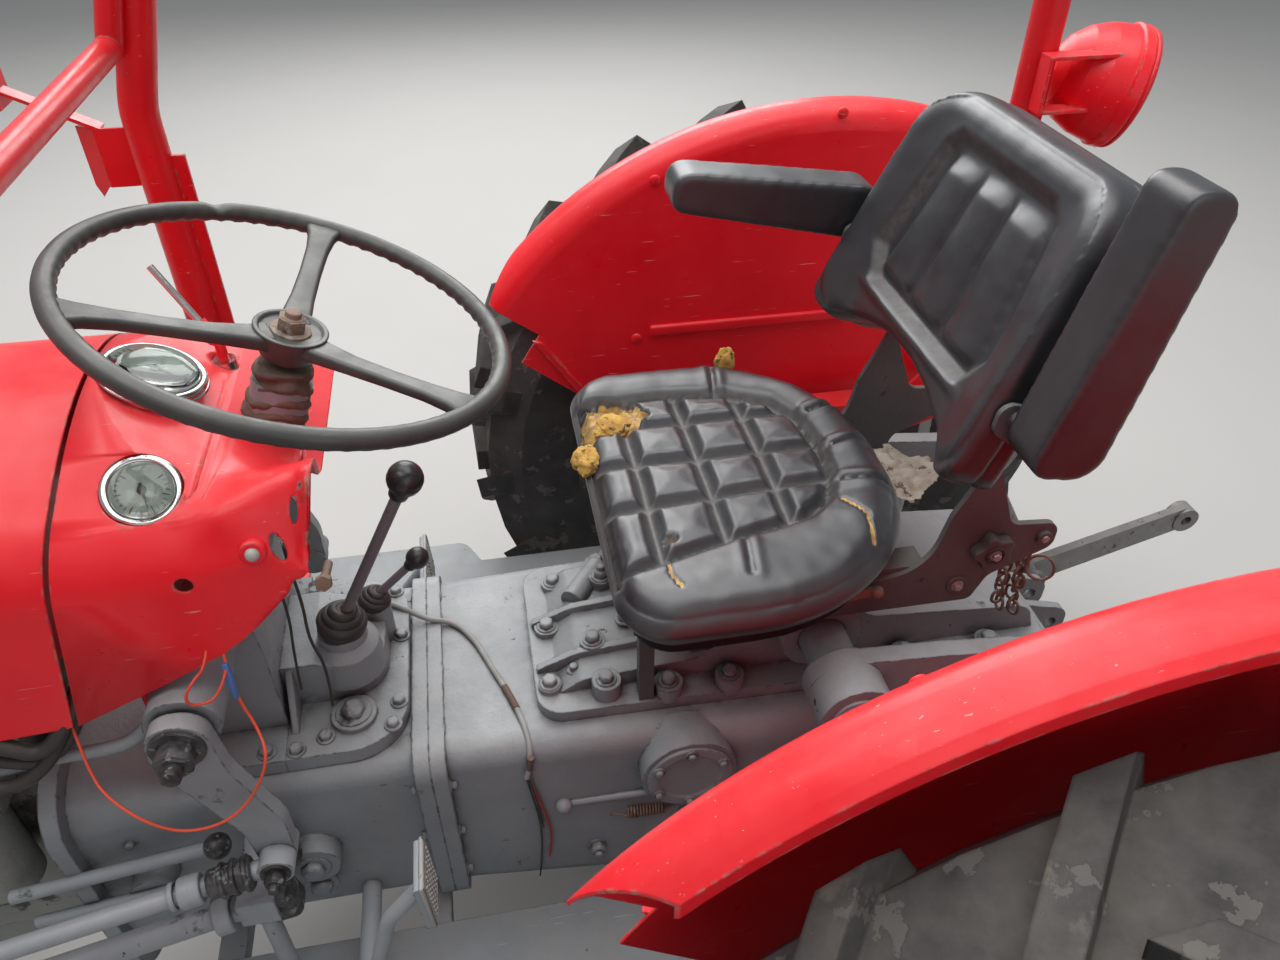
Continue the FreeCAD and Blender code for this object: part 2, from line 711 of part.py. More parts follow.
def steering_box():
    """Box on the clutch housing with its cross shaft, and the column up to the wheel."""
    rear_x = cross_shaft_x - 52
    front_x = cross_shaft_x + 58
    body = plate([(rear_x, lid_top, 0), (front_x, lid_top, 0), (front_x, cross_shaft_z + 24, 30),
                  (rear_x + 8, cross_shaft_z + 40, 30), (rear_x, cross_shaft_z - 50, 20)], "y", -95, 95)
    foot = box(rear_x, front_x, -case_half + 16, case_half - 16, case_top, lid_top)
    neck = rod((cross_shaft_x, -drop_y + 6, cross_shaft_z), (cross_shaft_x, drop_y - 6, cross_shaft_z), 38)
    shaft = rod((cross_shaft_x, -drop_y - drop_thick - 20, cross_shaft_z),
                (cross_shaft_x, drop_y + drop_thick + 20, cross_shaft_z), cross_shaft_radius)
    column = rod(column_point(cross_shaft_z + 9), column_point(column_top_z), column_radius)
    boot = rod(column_point(boot_low_z), column_point(column_top_z - 14), 31)
    shape = fused([body, foot, neck, shaft, column, boot])
    return shape.cut(rod(column_point(column_top_z - 70), column_point(column_top_z + 30),
                         shaft_radius + running_fit))


def steering_wheel():
    """Dished wheel built about its own axis, then set on the column."""
    rim = Part.makeTorus(wheel_radius, wheel_rim)
    low = -wheel_dish
    hub = turned([(0, low - 22), (26, low - 22), (34, low - 8), (40, low + 6), (40, low + 12),
                  (26, low + 12),
                  (24, low + 8), (0, low + 8)], (0, 0, 0), (0, 0, 1))
    nut = Part.makeBox(26, 26, 14, Vector(-13, -13, low + 6))
    shaft = Part.makeCylinder(shaft_radius, 80, Vector(0, 0, low - 82))
    pieces = [rim, hub, nut, shaft]
    side = plate([(20, low - 10), (20, low + 10), (wheel_radius - 4, 7), (wheel_radius - 4, -6)], "y",
                 -20, 20)
    top = plate([(20, -17), (wheel_radius - 45, -12, 60), (wheel_radius - 4, -17), (wheel_radius - 4, 17),
                 (wheel_radius - 45, 12, 60), (20, 17)], "z", -80, 40)
    spoke = side.common(top)
    for step in range(3):
        pieces.append(turn(spoke, (0, 0, 0), (0, 0, 1), 120 * step + spoke_turn))
    shape = fused(pieces)
    shape.Placement = Placement(Vector(wheel_x, 0, wheel_z), Rotation(Vector(0, 1, 0), -wheel_tilt))
    return shape


def drop_arm():
    """Curved arm from the cross shaft down to the drag link, with a nut on its hub."""
    far = drop_y + drop_thick
    x, z = cross_shaft_x, cross_shaft_z
    arm = plate([(x + 32, z - 14, 26), (x + 28, z + 30, 28), (x - 28, z + 30, 28), (x - 36, z - 50, 60),
                 (x - 70, z - 150, 60), (drop_x - 20, drop_z - 20, 19), (drop_x + 20, drop_z - 20, 19),
                 (x - 24, z - 160, 60), (x + 16, z - 64, 60)], "y", drop_y, far)
    boss = rod((drop_x, drop_y - 4, drop_z), (drop_x, far, drop_z), 21)
    pin = rod((drop_x, drop_y, drop_z), (drop_x, far + 32, drop_z), drop_pin)
    shape = fused([arm, boss, pin])
    return shape.cut(rod((x, 200, z), (x, 300, z), cross_shaft_radius + running_fit))


def drag_link():
    """Link from the drop arm pin to its open housing above the steering arm."""
    near = drop_y + drop_thick + seat_gap
    eye = rod((drop_x, near, drop_z), (drop_x, near + 24, drop_z), 20)
    end_y = kingpin_y - arm_radius
    bar = rod((drop_x, near + 12, drop_z), (wheelbase, end_y, link_front_z), link_radius)
    housing = rod((wheelbase, end_y, link_front_z - 17), (wheelbase, end_y, link_front_z + 17), 21)
    shape = fused([eye, bar, housing])
    return shape.cut(rod((drop_x, near - 5, drop_z), (drop_x, near + 40, drop_z), drop_pin + running_fit))


def knuckle():
    """Kingpin with the steering arm on top and the stub axle below."""
    pin = rod((wheelbase, kingpin_y, front_radius + 25), (wheelbase, kingpin_y, arm_top - 12),
              kingpin_radius)
    arm = plate([(wheelbase - 24, kingpin_y + 26, 20), (wheelbase + 24, kingpin_y + 26, 20),
                 (wheelbase + 20, kingpin_y - arm_radius - 20, 16),
                 (wheelbase - 20, kingpin_y - arm_radius - 20, 16)],
                "z", arm_top - 6 - arm_thick, arm_top - 6)
    boss = rod((wheelbase, kingpin_y - arm_radius, arm_top - 12), (wheelbase, kingpin_y - arm_radius,
                                                                   arm_top), 16)
    block = box(wheelbase - 34, wheelbase + 34, kingpin_y - 30, kingpin_y + 35, front_radius - 34,
                beam_z - 60 - hub_gap)
    spindle = rod((wheelbase, kingpin_y, front_radius), (wheelbase, front_centre_y + 30, front_radius),
                  spindle_radius)
    return fused([pin, arm, boss, block, spindle])


# Wheels
def rim(seat_radius, width, dish_y, hub_radius, hub_from, hub_to, bore, centre):
    """Wheel rim with its dished disc and a hub bored for its spindle."""
    half = width / 2
    lip = 20
    profile = [(seat_radius - rim_wall, -half), (seat_radius + lip, -half), (seat_radius + lip, -half + 8),
               (seat_radius, -half + 8), (seat_radius, half - 8), (seat_radius + lip, half - 8),
               (seat_radius + lip, half), (seat_radius - rim_wall, half),
               (seat_radius - rim_wall, dish_y + 12),
               (seat_radius * 0.72, dish_y + 12), (hub_radius + 20, dish_y - 20),
               (hub_radius, dish_y - 20),
               (hub_radius, dish_y - 28), (hub_radius + 24, dish_y - 28),
               (seat_radius * 0.72 + 4, dish_y + 4),
               (seat_radius - rim_wall, dish_y + 4)]
    shape = turned(profile, centre, (0, 1, 0))
    hub = rod((centre[0], hub_from, centre[2]), (centre[0], hub_to, centre[2]), hub_radius)
    shape = shape.fuse(hub).removeSplitter()
    return shape.cut(rod((centre[0], hub_from - 1, centre[2]), (centre[0], bore[1], centre[2]), bore[0]))


def rear_rim():
    return rim(rear_seat_radius, 250, -20, 60, axle_flange_y + hub_gap, rear_centre_y + 10,
               (spigot_radius + running_fit, axle_flange_y + spigot_length + hub_gap),
               (0, rear_centre_y, rear_radius))


def front_rim():
    return rim(front_seat_radius, 130, 10, 42, front_centre_y - 62, front_centre_y + 42,
               (spindle_radius + running_fit, front_centre_y + 30 + hub_gap),
               (wheelbase, front_centre_y, front_radius))


def faceted(profile, centre, count, phase):
    """Flat-sided ring about an axis along Y from (radius, offset) corners."""
    rings = []
    for step in range(count):
        angle = math.radians(phase + 360.0 * step / count)
        rings.append([Vector(centre[0] + radius * math.cos(angle), centre[1] + offset,
                             centre[2] + radius * math.sin(angle)) for radius, offset in profile])
    faces = []
    for step in range(count):
        here = rings[step]
        after = rings[(step + 1) % count]
        for index in range(len(profile)):
            near = (index + 1) % len(profile)
            corners = [here[index], here[near], after[near], after[index], here[index]]
            faces.append(Part.Face(Part.makePolygon(corners)))
    solid = Part.Solid(Part.Shell(faces))
    if solid.Volume < 0:
        solid.reverse()
    return solid


def rear_tyre():
    """Carcass with slanted lugs whose corners end at the rolling radius."""
    half = rear_width / 2
    carcass = rear_radius - lug_height
    seat = rear_seat_radius / math.cos(math.pi / lug_count / 2) + 0.1
    profile = [(seat, -117), (rear_seat_radius + 22, -117), (rear_seat_radius + 130, -half),
               (carcass - 60, -half), (carcass, -half + 32), (carcass, half - 32),
               (carcass - 60, half), (rear_seat_radius + 130, half), (rear_seat_radius + 22, 117),
               (seat, 117)]
    tread = faceted(profile, (0, 0, 0), 2 * lug_count, -90)
    slope = math.tan(math.radians(lug_angle))
    wide = lug_width / 2
    middle = half / 2

    def crest(offset):
        along = abs(offset - middle) * slope + wide
        return math.sqrt(rear_radius ** 2 - along ** 2)

    # offset from the centre plane and radius of each corner of a lug's side
    corners = [(-8, carcass - 14), (-8, crest(-8)), (middle, crest(middle)), (half - 20, crest(half - 20)),
               (half - 4, carcass - 16), (half - 12, carcass - 64), (half - 30, carcass - 20)]
    points = [Vector(-wide + (offset - middle) * slope, offset, -radius) for offset, radius in corners]
    side = Part.Face(Part.makePolygon(points + [points[0]]))
    lug = side.extrude(Vector(2 * wide, 0, 0))
    spin = math.degrees(math.atan(wide / crest(middle)))
    lug.rotate(Vector(0, 0, 0), Vector(0, 1, 0), spin)
    lugs = []
    for step in range(lug_count):
        lugs.append(turn(lug, (0, 0, 0), (0, 1, 0), 360.0 * step / lug_count))
        lugs.append(turn(mirrored(lug), (0, 0, 0), (0, 1, 0), 360.0 * (step + 0.5) / lug_count))
    shape = tread.fuse(lugs)
    shape.translate(Vector(0, rear_centre_y, rear_radius))
    return shape


def front_tyre():
    """Ribbed front tyre with flat sides, a corner of it on the floor."""
    half = front_width / 2
    seat = front_seat_radius / math.cos(math.pi / front_tyre_sides) + 0.1
    crown = front_radius - rib_height
    profile = [(seat, -57), (front_seat_radius + 23, -57), (front_seat_radius + 75, -half),
               (crown - 28, -half + 6),
               (crown, -half + 26), (crown, -20), (front_radius, -14), (front_radius, 14), (crown, 20),
               (crown, half - 26), (crown - 28, half - 6), (front_seat_radius + 75, half),
               (front_seat_radius + 23, 57), (seat, 57)]
    return faceted(profile, (wheelbase, front_centre_y, front_radius), front_tyre_sides, -90)


# Hood, grille and cowl
def hood_section(inset, half_low, half_high, low, top):
    """Arched section with a crown in the middle and tighter shoulders."""
    slope = math.atan2(crown_rise + shoulder_drop, half_high)
    shoulder = top - shoulder_drop - inset * (1 - math.sin(slope)) / math.cos(slope)
    apex = top + crown_rise - inset / math.cos(slope)
    return [(-half_low + inset, low), (half_low - inset, low),
            (half_high - inset, shoulder, shoulder_round - inset), (0, apex, crown_round - inset),
            (-half_high + inset, shoulder, shoulder_round - inset)]


def hood_form(inset, x0, x1):
    """Length of the hood's section, reaching down past its lower edge."""
    return plate(hood_section(inset, hood_low_half, hood_high_half, nose_bottom, hood_top), "x", x0, x1)


def behind_seam(offset):
    """Everything behind the slanted joint between cowl and hood."""
    low = hood_bottom - 160
    high = hood_top + 54
    behind = seam_top_x - 455
    return plate([(behind, low), (seam_bottom_x + offset + 30, low), (seam_top_x + offset - 10, high),
                  (behind, high)], "y", -400, 400)


def hood():
    """Bent sheet over the engine, cut off along its slanted seam and its lower edge."""
    rear = seam_top_x - 55
    outer = hood_form(0, rear, hood_front)
    inner = hood_form(sheet, rear - 10, hood_front + 10)
    below = plate([(rear - 20, hood_bottom), (seam_bottom_x, hood_bottom),
                   (hood_front + 20, hood_front_bottom),
                   (hood_front + 20, nose_bottom - 60), (rear - 20, nose_bottom - 60)], "y", -400, 400)
    return outer.cut(inner).cut(behind_seam(seam_gap)).cut(below)


def grille():
    """Nose with its window, bars and the hinge lugs below."""
    top = hood_top
    half = hood_low_half
    high = hood_high_half
    wall = sheet + 1
    # x, narrowing of the half width, lowering of the top, raising of the bottom
    outer_steps = ((hood_front, 0, 0, 0), (nose_x - 24, 6, 6, 0), (nose_x, 30, 32, 20))
    inner_steps = ((hood_front - 1, 0, 0, -9), (nose_x - 24, 6, 6, -9), (nose_x - 5, 30, 32, 14))
    outer = loft([(x, hood_section(0, half - narrow, high - narrow, nose_bottom + rise, top - drop))
                  for x, narrow, drop, rise in outer_steps])
    inner = loft([(x, hood_section(wall, half - narrow, high - narrow, nose_bottom + rise, top - drop))
                  for x, narrow, drop, rise in inner_steps])
    shell = outer.cut(inner)
    low = nose_bottom + 60
    window_half = high - 62
    cross_z = (low + top) / 2
    window = plate([(-window_half, low, 30), (window_half, low, 30), (window_half, top - 70, 90),
                    (-window_half, top - 70, 90)], "x", nose_x - 40, nose_x + 10)
    shell = shell.cut(window)
    pieces = [shell]
    pitch = 2 * window_half / (grille_bars + 1)
    for index in range(grille_bars):
        y = -window_half + pitch * (index + 1)
        pieces.append(box(nose_x - 14, nose_x - 3, y - 4, y + 4, low - 12, top - 66 - 0.0022 * y * y))
    for z in (low - 12, cross_z):
        pieces.append(box(nose_x - 20, nose_x - 14, -window_half - 12, window_half + 12, z, z + 12))
    for y in (-168, 153):
        lug = plate([(hinge_x - 16, hinge_z - 16, 15), (hinge_x + 16, hinge_z - 16, 15),
                     (nose_x - 8, nose_bottom + 60), (hinge_x - 16, nose_bottom + 60)], "y", y, y + 15)
        pieces.append(lug)
        pieces.append(box(hinge_x - 16, nose_x - 8, y, y + 15, nose_bottom + 50, nose_bottom + 64))
    shape = fused(pieces)
    return shape.cut(rod((hinge_x, -200, hinge_z), (hinge_x, 200, hinge_z), hinge_pin + running_fit))


def headlamp():
    """Round lamp on a short arm beside the nose."""
    y = hood_high_half + 78
    z = hood_top - 191
    bowl = turned([(0, -78), (34, -66), (62, -22), (70, 0), (70, 14), (60, 14), (0, 20)],
                  (hood_front - 30, y, z), (1, 0, 0))
    arm = rod((hood_front - 50, hood_low_half, z - 25), (hood_front - 50, y, z - 15), 9)
    pad = box(hood_front - 75, hood_front - 25, hood_high_half - 10, hood_low_half + 5, z - 50, z)
    shape = fused([bowl, arm, pad])
    return shape.cut(hood_form(-seat_gap, joint_x + 210, hood_front + 20))


def cowl_form(inset):
    side = [(cowl_rear_x + inset, cowl_rear_top - inset), (cowl_rear_x + 4 + inset,
                                                           cowl_rear_low - 2 * inset),
            (cowl_curve_x, cowl_curve_z - 3 * inset, 200), (seam_bottom_x, hood_bottom - 4 * inset),
            (seam_bottom_x, hood_top + crown_rise), (seam_top_x + inset, hood_top - inset),
            (cowl_knee_x + inset / 2, cowl_knee_z - inset, 120)]
    body = plate(side, "y", -300, 300)
    rear = cowl_rear_x - 50
    front = seam_bottom_x + 20
    section = hood_form(inset + seat_gap, rear, front)
    plan = plate([(rear, -cowl_rear_half + inset), (front, -hood_low_half - 2 + inset),
                  (front, hood_low_half + 2 - inset), (rear, cowl_rear_half - inset)],
                 "z", case_top, hood_top + 150)
    return body.common(section).common(plan)


# name, x, y, z, backward tilt, sideways tilt, face radius
gauges = (("large", seam_top_x - 53, 0, hood_top - 21, 22, 0, 51),
          ("small", seam_top_x - 60, 143, hood_top - 62, 17, 34, 36))


def gauge_axis(back, aside):
    lean = Rotation(Vector(1, 0, 0), -aside) * Vector(0, 0, 1)
    return Rotation(Vector(0, 1, 0), -back) * lean


def instrument_cowl():
    """Hollow cowl and dash face, open below, standing on a bulkhead behind the engine."""
    solid = cowl_form(0)
    shell = solid.cut(cowl_form(sheet)).common(behind_seam(0))
    shell = shell.cut(rod(column_point(hood_bottom + 38), column_point(hood_top - 11), column_radius + 12))
    for name, x, y, z, back, aside, radius in gauges:
        axis = gauge_axis(back, aside)
        centre = Vector(x, y, z)
        shell = shell.cut(Part.makeCylinder(radius - 7 + seat_gap, 100, centre - axis * 60, axis))
        shell = shell.cut(Part.makeCylinder(radius + seat_gap, 60, centre - axis * (6 + seat_gap), axis))
    shell = shell.cut(rod((throttle_x, throttle_y, throttle_z - 98),
                          (throttle_x, throttle_y, throttle_z + 102),
                          13 + seat_gap))
    upper = solid.common(box(bulkhead_x, bulkhead_x + bulkhead_thick, -400, 400, hood_bottom + 30,
                             hood_top + 50))
    upper = upper.common(behind_seam(-2))
    lower = box(bulkhead_x, bulkhead_x + bulkhead_thick, -case_half + 10, case_half - 10,
                lid_top + seat_gap, hood_bottom + 60)
    return shell.fuse([upper, lower]).removeSplitter()


def dash_fittings():
    """Two gauges and the throttle rod on the dash face."""
    pieces = []
    for name, x, y, z, back, aside, radius in gauges:
        inner = radius - 7
        profile = [(0, -50), (inner, -50), (inner, -6), (radius, -6), (radius, 6), (inner, 8), (0, 8)]
        pieces.append(turned(profile, (x, y, z), gauge_axis(back, aside)))
    base = (throttle_x, throttle_y)
    throttle = fused([rod(base + (throttle_z - 8,), (throttle_x + 4, throttle_y - 6, throttle_z + 22), 4),
                      Part.makeSphere(5, Vector(throttle_x + 4, throttle_y - 6, throttle_z + 22)),
                      rod((throttle_x + 4, throttle_y - 6, throttle_z + 22),
                          (throttle_x + 57, throttle_y - 40, throttle_z + 98), 4)])
    knob = rod(base + (throttle_z - 33,), base + (throttle_z,), 13)
    pieces.append(fused([throttle, knob]))
    return Part.makeCompound(pieces)


# Fenders, footplates, pedals
def fender():
    """Side plate that rolls into a domed crown over the tyre, with a folded lip outside."""
    first = math.radians(fender_start)
    last = math.radians(fender_end)
    top = fender_radius
    out = fender_outer_y

    def rim_point(radius, angle):
        return (radius * math.cos(angle), rear_radius + radius * math.sin(angle))

    # radius and y of the bent sheet, first its outer face and then back along its inner one
    section = [(top - 125, fender_y), (top, fender_y, 38), (top + 7, out - 24, 48), (top - 8, out),
               (top - 22, out), (top - 22, out - sheet), (top - 10, out - sheet), (top + 4, out - 25, 45),
               (top - sheet, fender_y + sheet, 35), (top - 125, fender_y + sheet)]
    face = Part.Face(outline(section, lambda spot: Vector(spot.x * math.cos(first), spot.y,
                                                          rear_radius + spot.x * math.sin(first))))
    crown = face.revolve(Vector(0, 0, rear_radius), Vector(0, -1, 0), fender_end - fender_start)
    taper = plate([(445, out + 30), (470, out + 2, 60), (562, fender_y + 6), (700, fender_y + 6),
                   (700, out + 30)],
                  "z", rear_radius, rear_radius + top + 20)
    crown = crown.cut(taper)
    far = top * 1.6
    middle = (first + last) / 2
    sheet_corners = [rim_point(top, first), rim_point(far, middle - 0.4), rim_point(far, middle + 0.4),
                     rim_point(top + 5, last), (-300, rear_radius + 90, 60), (-110, rear_radius + 30),
                     (110, rear_radius + 30), (330, rear_radius + 90, 60), (390, rear_radius + 201, 40),
                     (534, rear_radius + 315, 60)]
    disc = rod((0, fender_y, rear_radius), (0, fender_y + sheet, rear_radius), top - 100)
    side_plate = disc.fuse(crown).common(plate(sheet_corners, "y", fender_y - 1, out + 1))
    side_plate = side_plate.cut(rod((0, fender_y - 5, rear_radius), (0, fender_y + 20, rear_radius), 74))
    rib = plate([(470, rear_radius + 330), (486, rear_radius + 336), (372, rear_radius + 165),
                 (356, rear_radius + 162)], "y", fender_y - 6, fender_y)
    return fused([side_plate, rib])


def footplates():
    """Both footplates on cross bars under the clutch housing and the gearbox."""
    bar_low = case_bottom - 62
    under = foot_z - foot_thick
    step_x = joint_x - 40
    pieces = []
    for name, side in sides:
        corners = [(foot_rear, side * foot_inner, 20), (foot_front, side * foot_inner, 20),
                   (foot_front, side * foot_outer, 30), (step_x, side * foot_outer, 30),
                   (step_x - 30, side * (foot_outer - 60)), (foot_rear, side * (foot_outer - 60), 30)]
        if side < 0:
            corners = corners[::-1]
        pieces.append(plate(corners, "z", under, foot_z))
    hanger_x = joint_x + flange_thick + 2
    for x in (hanger_x + 8, foot_front - 40):
        pieces.append(box(x - 18, x + 18, -foot_outer + 10, foot_outer - 10, bar_low, under))
    pieces.append(box(hanger_x, hanger_x + 26, -70, 70, under, case_bottom))
    rear_bar = foot_rear + 10
    pieces.append(box(rear_bar, rear_bar + 36, -foot_outer + 65, foot_outer - 65, bar_low, under))
    pieces.append(box(rear_bar, rear_bar + 36, -70, 70, under, case_bottom - 25))
    return fused(pieces)


def pedals():
    """Clutch pedal on the left and the two brake pedals on the right."""
    pivot = (joint_x + 110, foot_z + 69)
    # pad x, pad z, pad y low, pad y high, side
    table = ((joint_x + 10, case_top - 1, 295, 355, 1), (joint_x + 20, case_top - 144, 262, 318, -1),
             (joint_x + 20, case_top - 144, 326, 382, -1))
    pieces = []
    for x, z, low, high, side in table:
        middle = (low + high) / 2
        pad = plate([(x - 8, z - 38, 3), (x, z - 42, 3), (x + 4, z + 38, 3), (x - 4, z + 42, 3)],
                    "y", min(side * low, side * high), max(side * low, side * high))
        arm = pipe([(pivot[0], side * middle, pivot[1]), (x + 45, side * middle, z - 60),
                    (x - 2, side * middle, z)],
                   9, 40)
        pieces += [pad, arm, rod((pivot[0], side * (middle - 14), pivot[1]),
                                 (pivot[0], side * (middle + 14), pivot[1]), 20)]
    left_shaft = rod((pivot[0], case_half, pivot[1]), (pivot[0], 330, pivot[1]), 13)
    right_shaft = rod((pivot[0], -case_half, pivot[1]), (pivot[0], -372, pivot[1]), 13)
    return Part.makeCompound([fused([pieces[0], pieces[1], pieces[2], left_shaft]),
                              fused(pieces[3:] + [right_shaft])])


# Safety frame
def front_post():
    lean = math.tan(math.radians(post_lean))
    top_x = front_post_x - (roof_z - bend_z) * lean
    post = pipe([(front_post_x, front_post_y, foot_z), (front_post_x, front_post_y, bend_z),
                 (top_x - 20 * lean, front_post_y, roof_z + 20)], post_radius, 160)
    post = post.cut(box(top_x - 100, top_x + 100, front_post_y - 50, front_post_y + 50, roof_z,
                        roof_z + 60))
    foot = box(front_post_x - 45, front_post_x + 38, front_post_y - 45, front_post_y + 45, foot_z,
               foot_z + 8)
    strip = box(front_post_x - post_radius - 18, front_post_x - post_radius + 4, front_post_y - 3,
                front_post_y + 3, foot_z + 89, bend_z - 65)
    x = front_post_x
    y = front_post_y
    z = bend_z - 113
    cheek = box(x + 5, x + 75, y + 20, y + 25, z, z + 84)
    wing = plate([(x + 73, y + 20), (x + 102, y + 40), (x + 99, y + 44), (x + 70, y + 25)], "z",
                 z - 20, z + 84)
    wing = wing.common(plate([(x + 60, z + 90), (x + 110, z + 84), (x + 110, z + 14), (x + 94, z - 18),
                              (x + 78, z), (x + 60, z)], "y", y, y + 60))
    arm = plate([(x + 66, z + 79), (x + 180, z + 139), (x + 180, z + 144), (x + 64, z + 84)], "y",
                y + 20, y + 46)
    pad = box(x + 176, x + 181, y + 8, y + 58, z + 118, z + 174)
    return fused([post, foot, strip, cheek, wing, arm, pad])


def rear_post():
    base = rear_radius + brake_radius + seat_gap
    post = rod((rear_post_x, rear_post_y, base + 14), (rear_post_x, rear_post_y, roof_z), post_radius)
    foot = box(rear_post_x - 35, 70, rear_post_y - 38, rear_post_y + 10, base, base + 14)
    gusset = plate([(rear_post_x, base + 12), (rear_post_x + 110, base + 12), (rear_post_x, base + 130)],
                   "y", rear_post_y - 4, rear_post_y + 4)
    return fused([post, foot, gusset])


def roof_frame():
    lean = math.tan(math.radians(post_lean))
    top_x = front_post_x - (roof_z - bend_z) * lean
    half = roof_tube / 2
    pieces = []
    for name, side in sides:
        rail = plate([(top_x + 40, side * front_post_y - half), (top_x + 40, side * front_post_y + half),
                      (rear_post_x - 40, side * rear_post_y + half),
                      (rear_post_x - 40, side * rear_post_y - half)],
                     "z", roof_z, roof_z + roof_tube)
        pieces.append(rail)
    for x, reach in ((top_x, front_post_y), (rear_post_x, rear_post_y)):
        pieces.append(box(x - half, x + half, -reach, reach, roof_z, roof_z + roof_tube))
    return fused(pieces)


def front_cross_tube():
    """Screen frame of thin tube: a rail between the front posts and a bar up beside each of them."""
    lean = math.tan(math.radians(post_lean))
    x = front_post_x - (screen_low - bend_z) * lean + 25
    y = front_post_y - 34
    top_x = x - (roof_z + 30 - screen_low) * lean
    pieces = [rod((x, -y, screen_low), (x, y, screen_low), screen_radius)]
    for name, side in sides:
        pieces.append(Part.makeSphere(screen_radius, Vector(x, side * y, screen_low)))
        pieces.append(rod((x, side * y, screen_low), (top_x, side * y, roof_z + 30), screen_radius))
    shape = fused(pieces)
    shape = shape.cut(box(top_x - 200, top_x + 200, -y - 100, y + 100, roof_z - seat_gap, roof_z + 100))
    for name, side in sides:
        y = side * front_post_y
        shape = shape.cut(pipe([(front_post_x, y, bend_z - 135), (front_post_x, y, bend_z),
                                (front_post_x - (roof_z + 60 - bend_z) * lean, y, roof_z + 60)],
                               post_radius + seat_gap, 160))
    return shape


def work_lamp():
    """Deep bowl lamp facing rearward and down, in a U strap on the inner side of the right rear post."""
    centre = (rear_post_x - 131, -rear_post_y, bend_z - 14)
    r = lamp_radius
    bowl = turned([(0, -100), (27, -96), (50, -83), (69, -61), (81, -33), (r - 1, -4), (r - 1, 0), (r + 3, 2),
                   (r + 3, 17), (r - 3, 25), (0, 31)], centre, (-0.92, 0.315, -0.233))
    near = -rear_post_y + post_radius + seat_gap
    high = centre[2] + 59
    low = centre[2] - 22
    web = box(rear_post_x + 8, rear_post_x + 13, near, near + 30, low, high)
    upper = box(centre[0] + 24, rear_post_x + 13, near, near + 30, high - 5, high)
    lower = box(centre[0] + 30, rear_post_x + 13, near, near + 30, low, low + 5)
    return fused([bowl, web, upper, lower])


# Seat
def back_point(depth, height):
    """Point in the leaning frame of the backrest, depth behind its face and height along it."""
    lean = math.radians(back_lean)
    return (back_low_x - depth * math.cos(lean) - height * math.sin(lean),
            back_low_z - depth * math.sin(lean) + height * math.cos(lean))


def seat_frame():
    """Rails on the lift cover, cranked side plates up behind the backrest and the armrest pins."""
    low = cushion_top - cushion_thick
    hump = lift_z + lift_hump
    near = back_thick + seat_gap
    far = near + 14
    pieces = []
    for name, side in sides:
        inner, outer = sorted((side * 114, side * 148))
        pieces.append(box(75, 430, inner, outer, hump, low - seat_gap))
        inner, outer = sorted((side * 146, side * 154))
        pieces.append(plate([(262, hump - 6), (262, hump + 26), (75, low - 3, 60), (58, low + 76, 30),
                             back_point(near, -8), back_point(near, 250), back_point(far, 250),
                             back_point(far, 12), (-20, low + 52, 20), (-84, low + 46, 17),
                             (-84, low + 10, 17),
                             (-8, hump + 30, 20), (8, hump - 8, 12)], "y", inner, outer))
        inner, outer = sorted((side * 120, side * 150))
        pieces.append(plate([back_point(near, 40), back_point(near, 245), back_point(far, 245),
                             back_point(far, 40)], "y", inner, outer))
        inner, outer = sorted((side * (armrest_y - 12), side * (armrest_y - 6)))
        pieces.append(plate([back_point(near + 2, 60), (pivot_x + 22, pivot_z - 16, 14),
                             (pivot_x + 18, pivot_z + 20, 14), back_point(near + 2, 122),
                             back_point(far, 122),
                             back_point(far, 60)], "y", inner, outer))
        pieces.append(rod((pivot_x, side * (armrest_y - 8), pivot_z),
                          (pivot_x, side * (armrest_y + 40), pivot_z), 8))
        inner, outer = sorted((side * 116, side * 134))
        pieces.append(box(402, 421, inner, outer, case_top + 18, hump))
    pieces.append(plate([back_point(near, 62), back_point(near, 120), back_point(far, 120),
                         back_point(far, 62)], "y", -armrest_y + 8, armrest_y - 8))
    for x in (lift_x - 40, 370):
        pieces.append(box(x, x + 60, -130, 130, hump, hump + 12))
    return fused(pieces)


def seat_cushion():
    """Pad with a wide round rear."""
    low = cushion_top - cushion_thick
    half = cushion_half
    return plate([(cushion_rear, -half, 220), (cushion_front, -half, 60), (cushion_front, half, 60),
                  (cushion_rear, half, 220)], "z", low, cushion_top)


def seat_back():
    """Backrest with its sides brought forward, narrower at the top."""
    half = back_low_half
    section = plate([(back_wrap, -half, 12), (0, -half + 80, 80), (0, half - 80, 80),
                     (back_wrap, half, 12),
                     (-45, half, 30), (-back_thick, half - 60, 60), (-back_thick, -half + 60, 60),
                     (-45, -half, 30)], "z", 0, back_height)
    front = plate([(-half, 0, 35), (half, 0, 35), (back_high_half, back_height, 75),
                   (-back_high_half, back_height, 75)], "x", -back_thick - 5, back_wrap + 5)
    shape = section.common(front)
    shape.rotate(Vector(0, 0, 0), Vector(0, 1, 0), -back_lean)
    shape.translate(Vector(back_low_x, 0, back_low_z))
    return shape


def armrest(degrees):
    """Pad above the left pin, turned to its angle above level."""
    y = armrest_y
    reach = armrest_length - armrest_tail
    shape = plate([(-armrest_tail, -14, 22), (reach, 6, 20), (reach, 58, 22), (-armrest_tail, 62, 30)],
                  "y", y, y + armrest_width)
    shape = shape.cut(rod((0, y - 1, 0), (0, y + 46, 0), 8 + running_fit))
    shape.rotate(Vector(0, 0, 0), Vector(0, -1, 0), degrees)
    shape.translate(Vector(pivot_x, 0, pivot_z))
    return shape


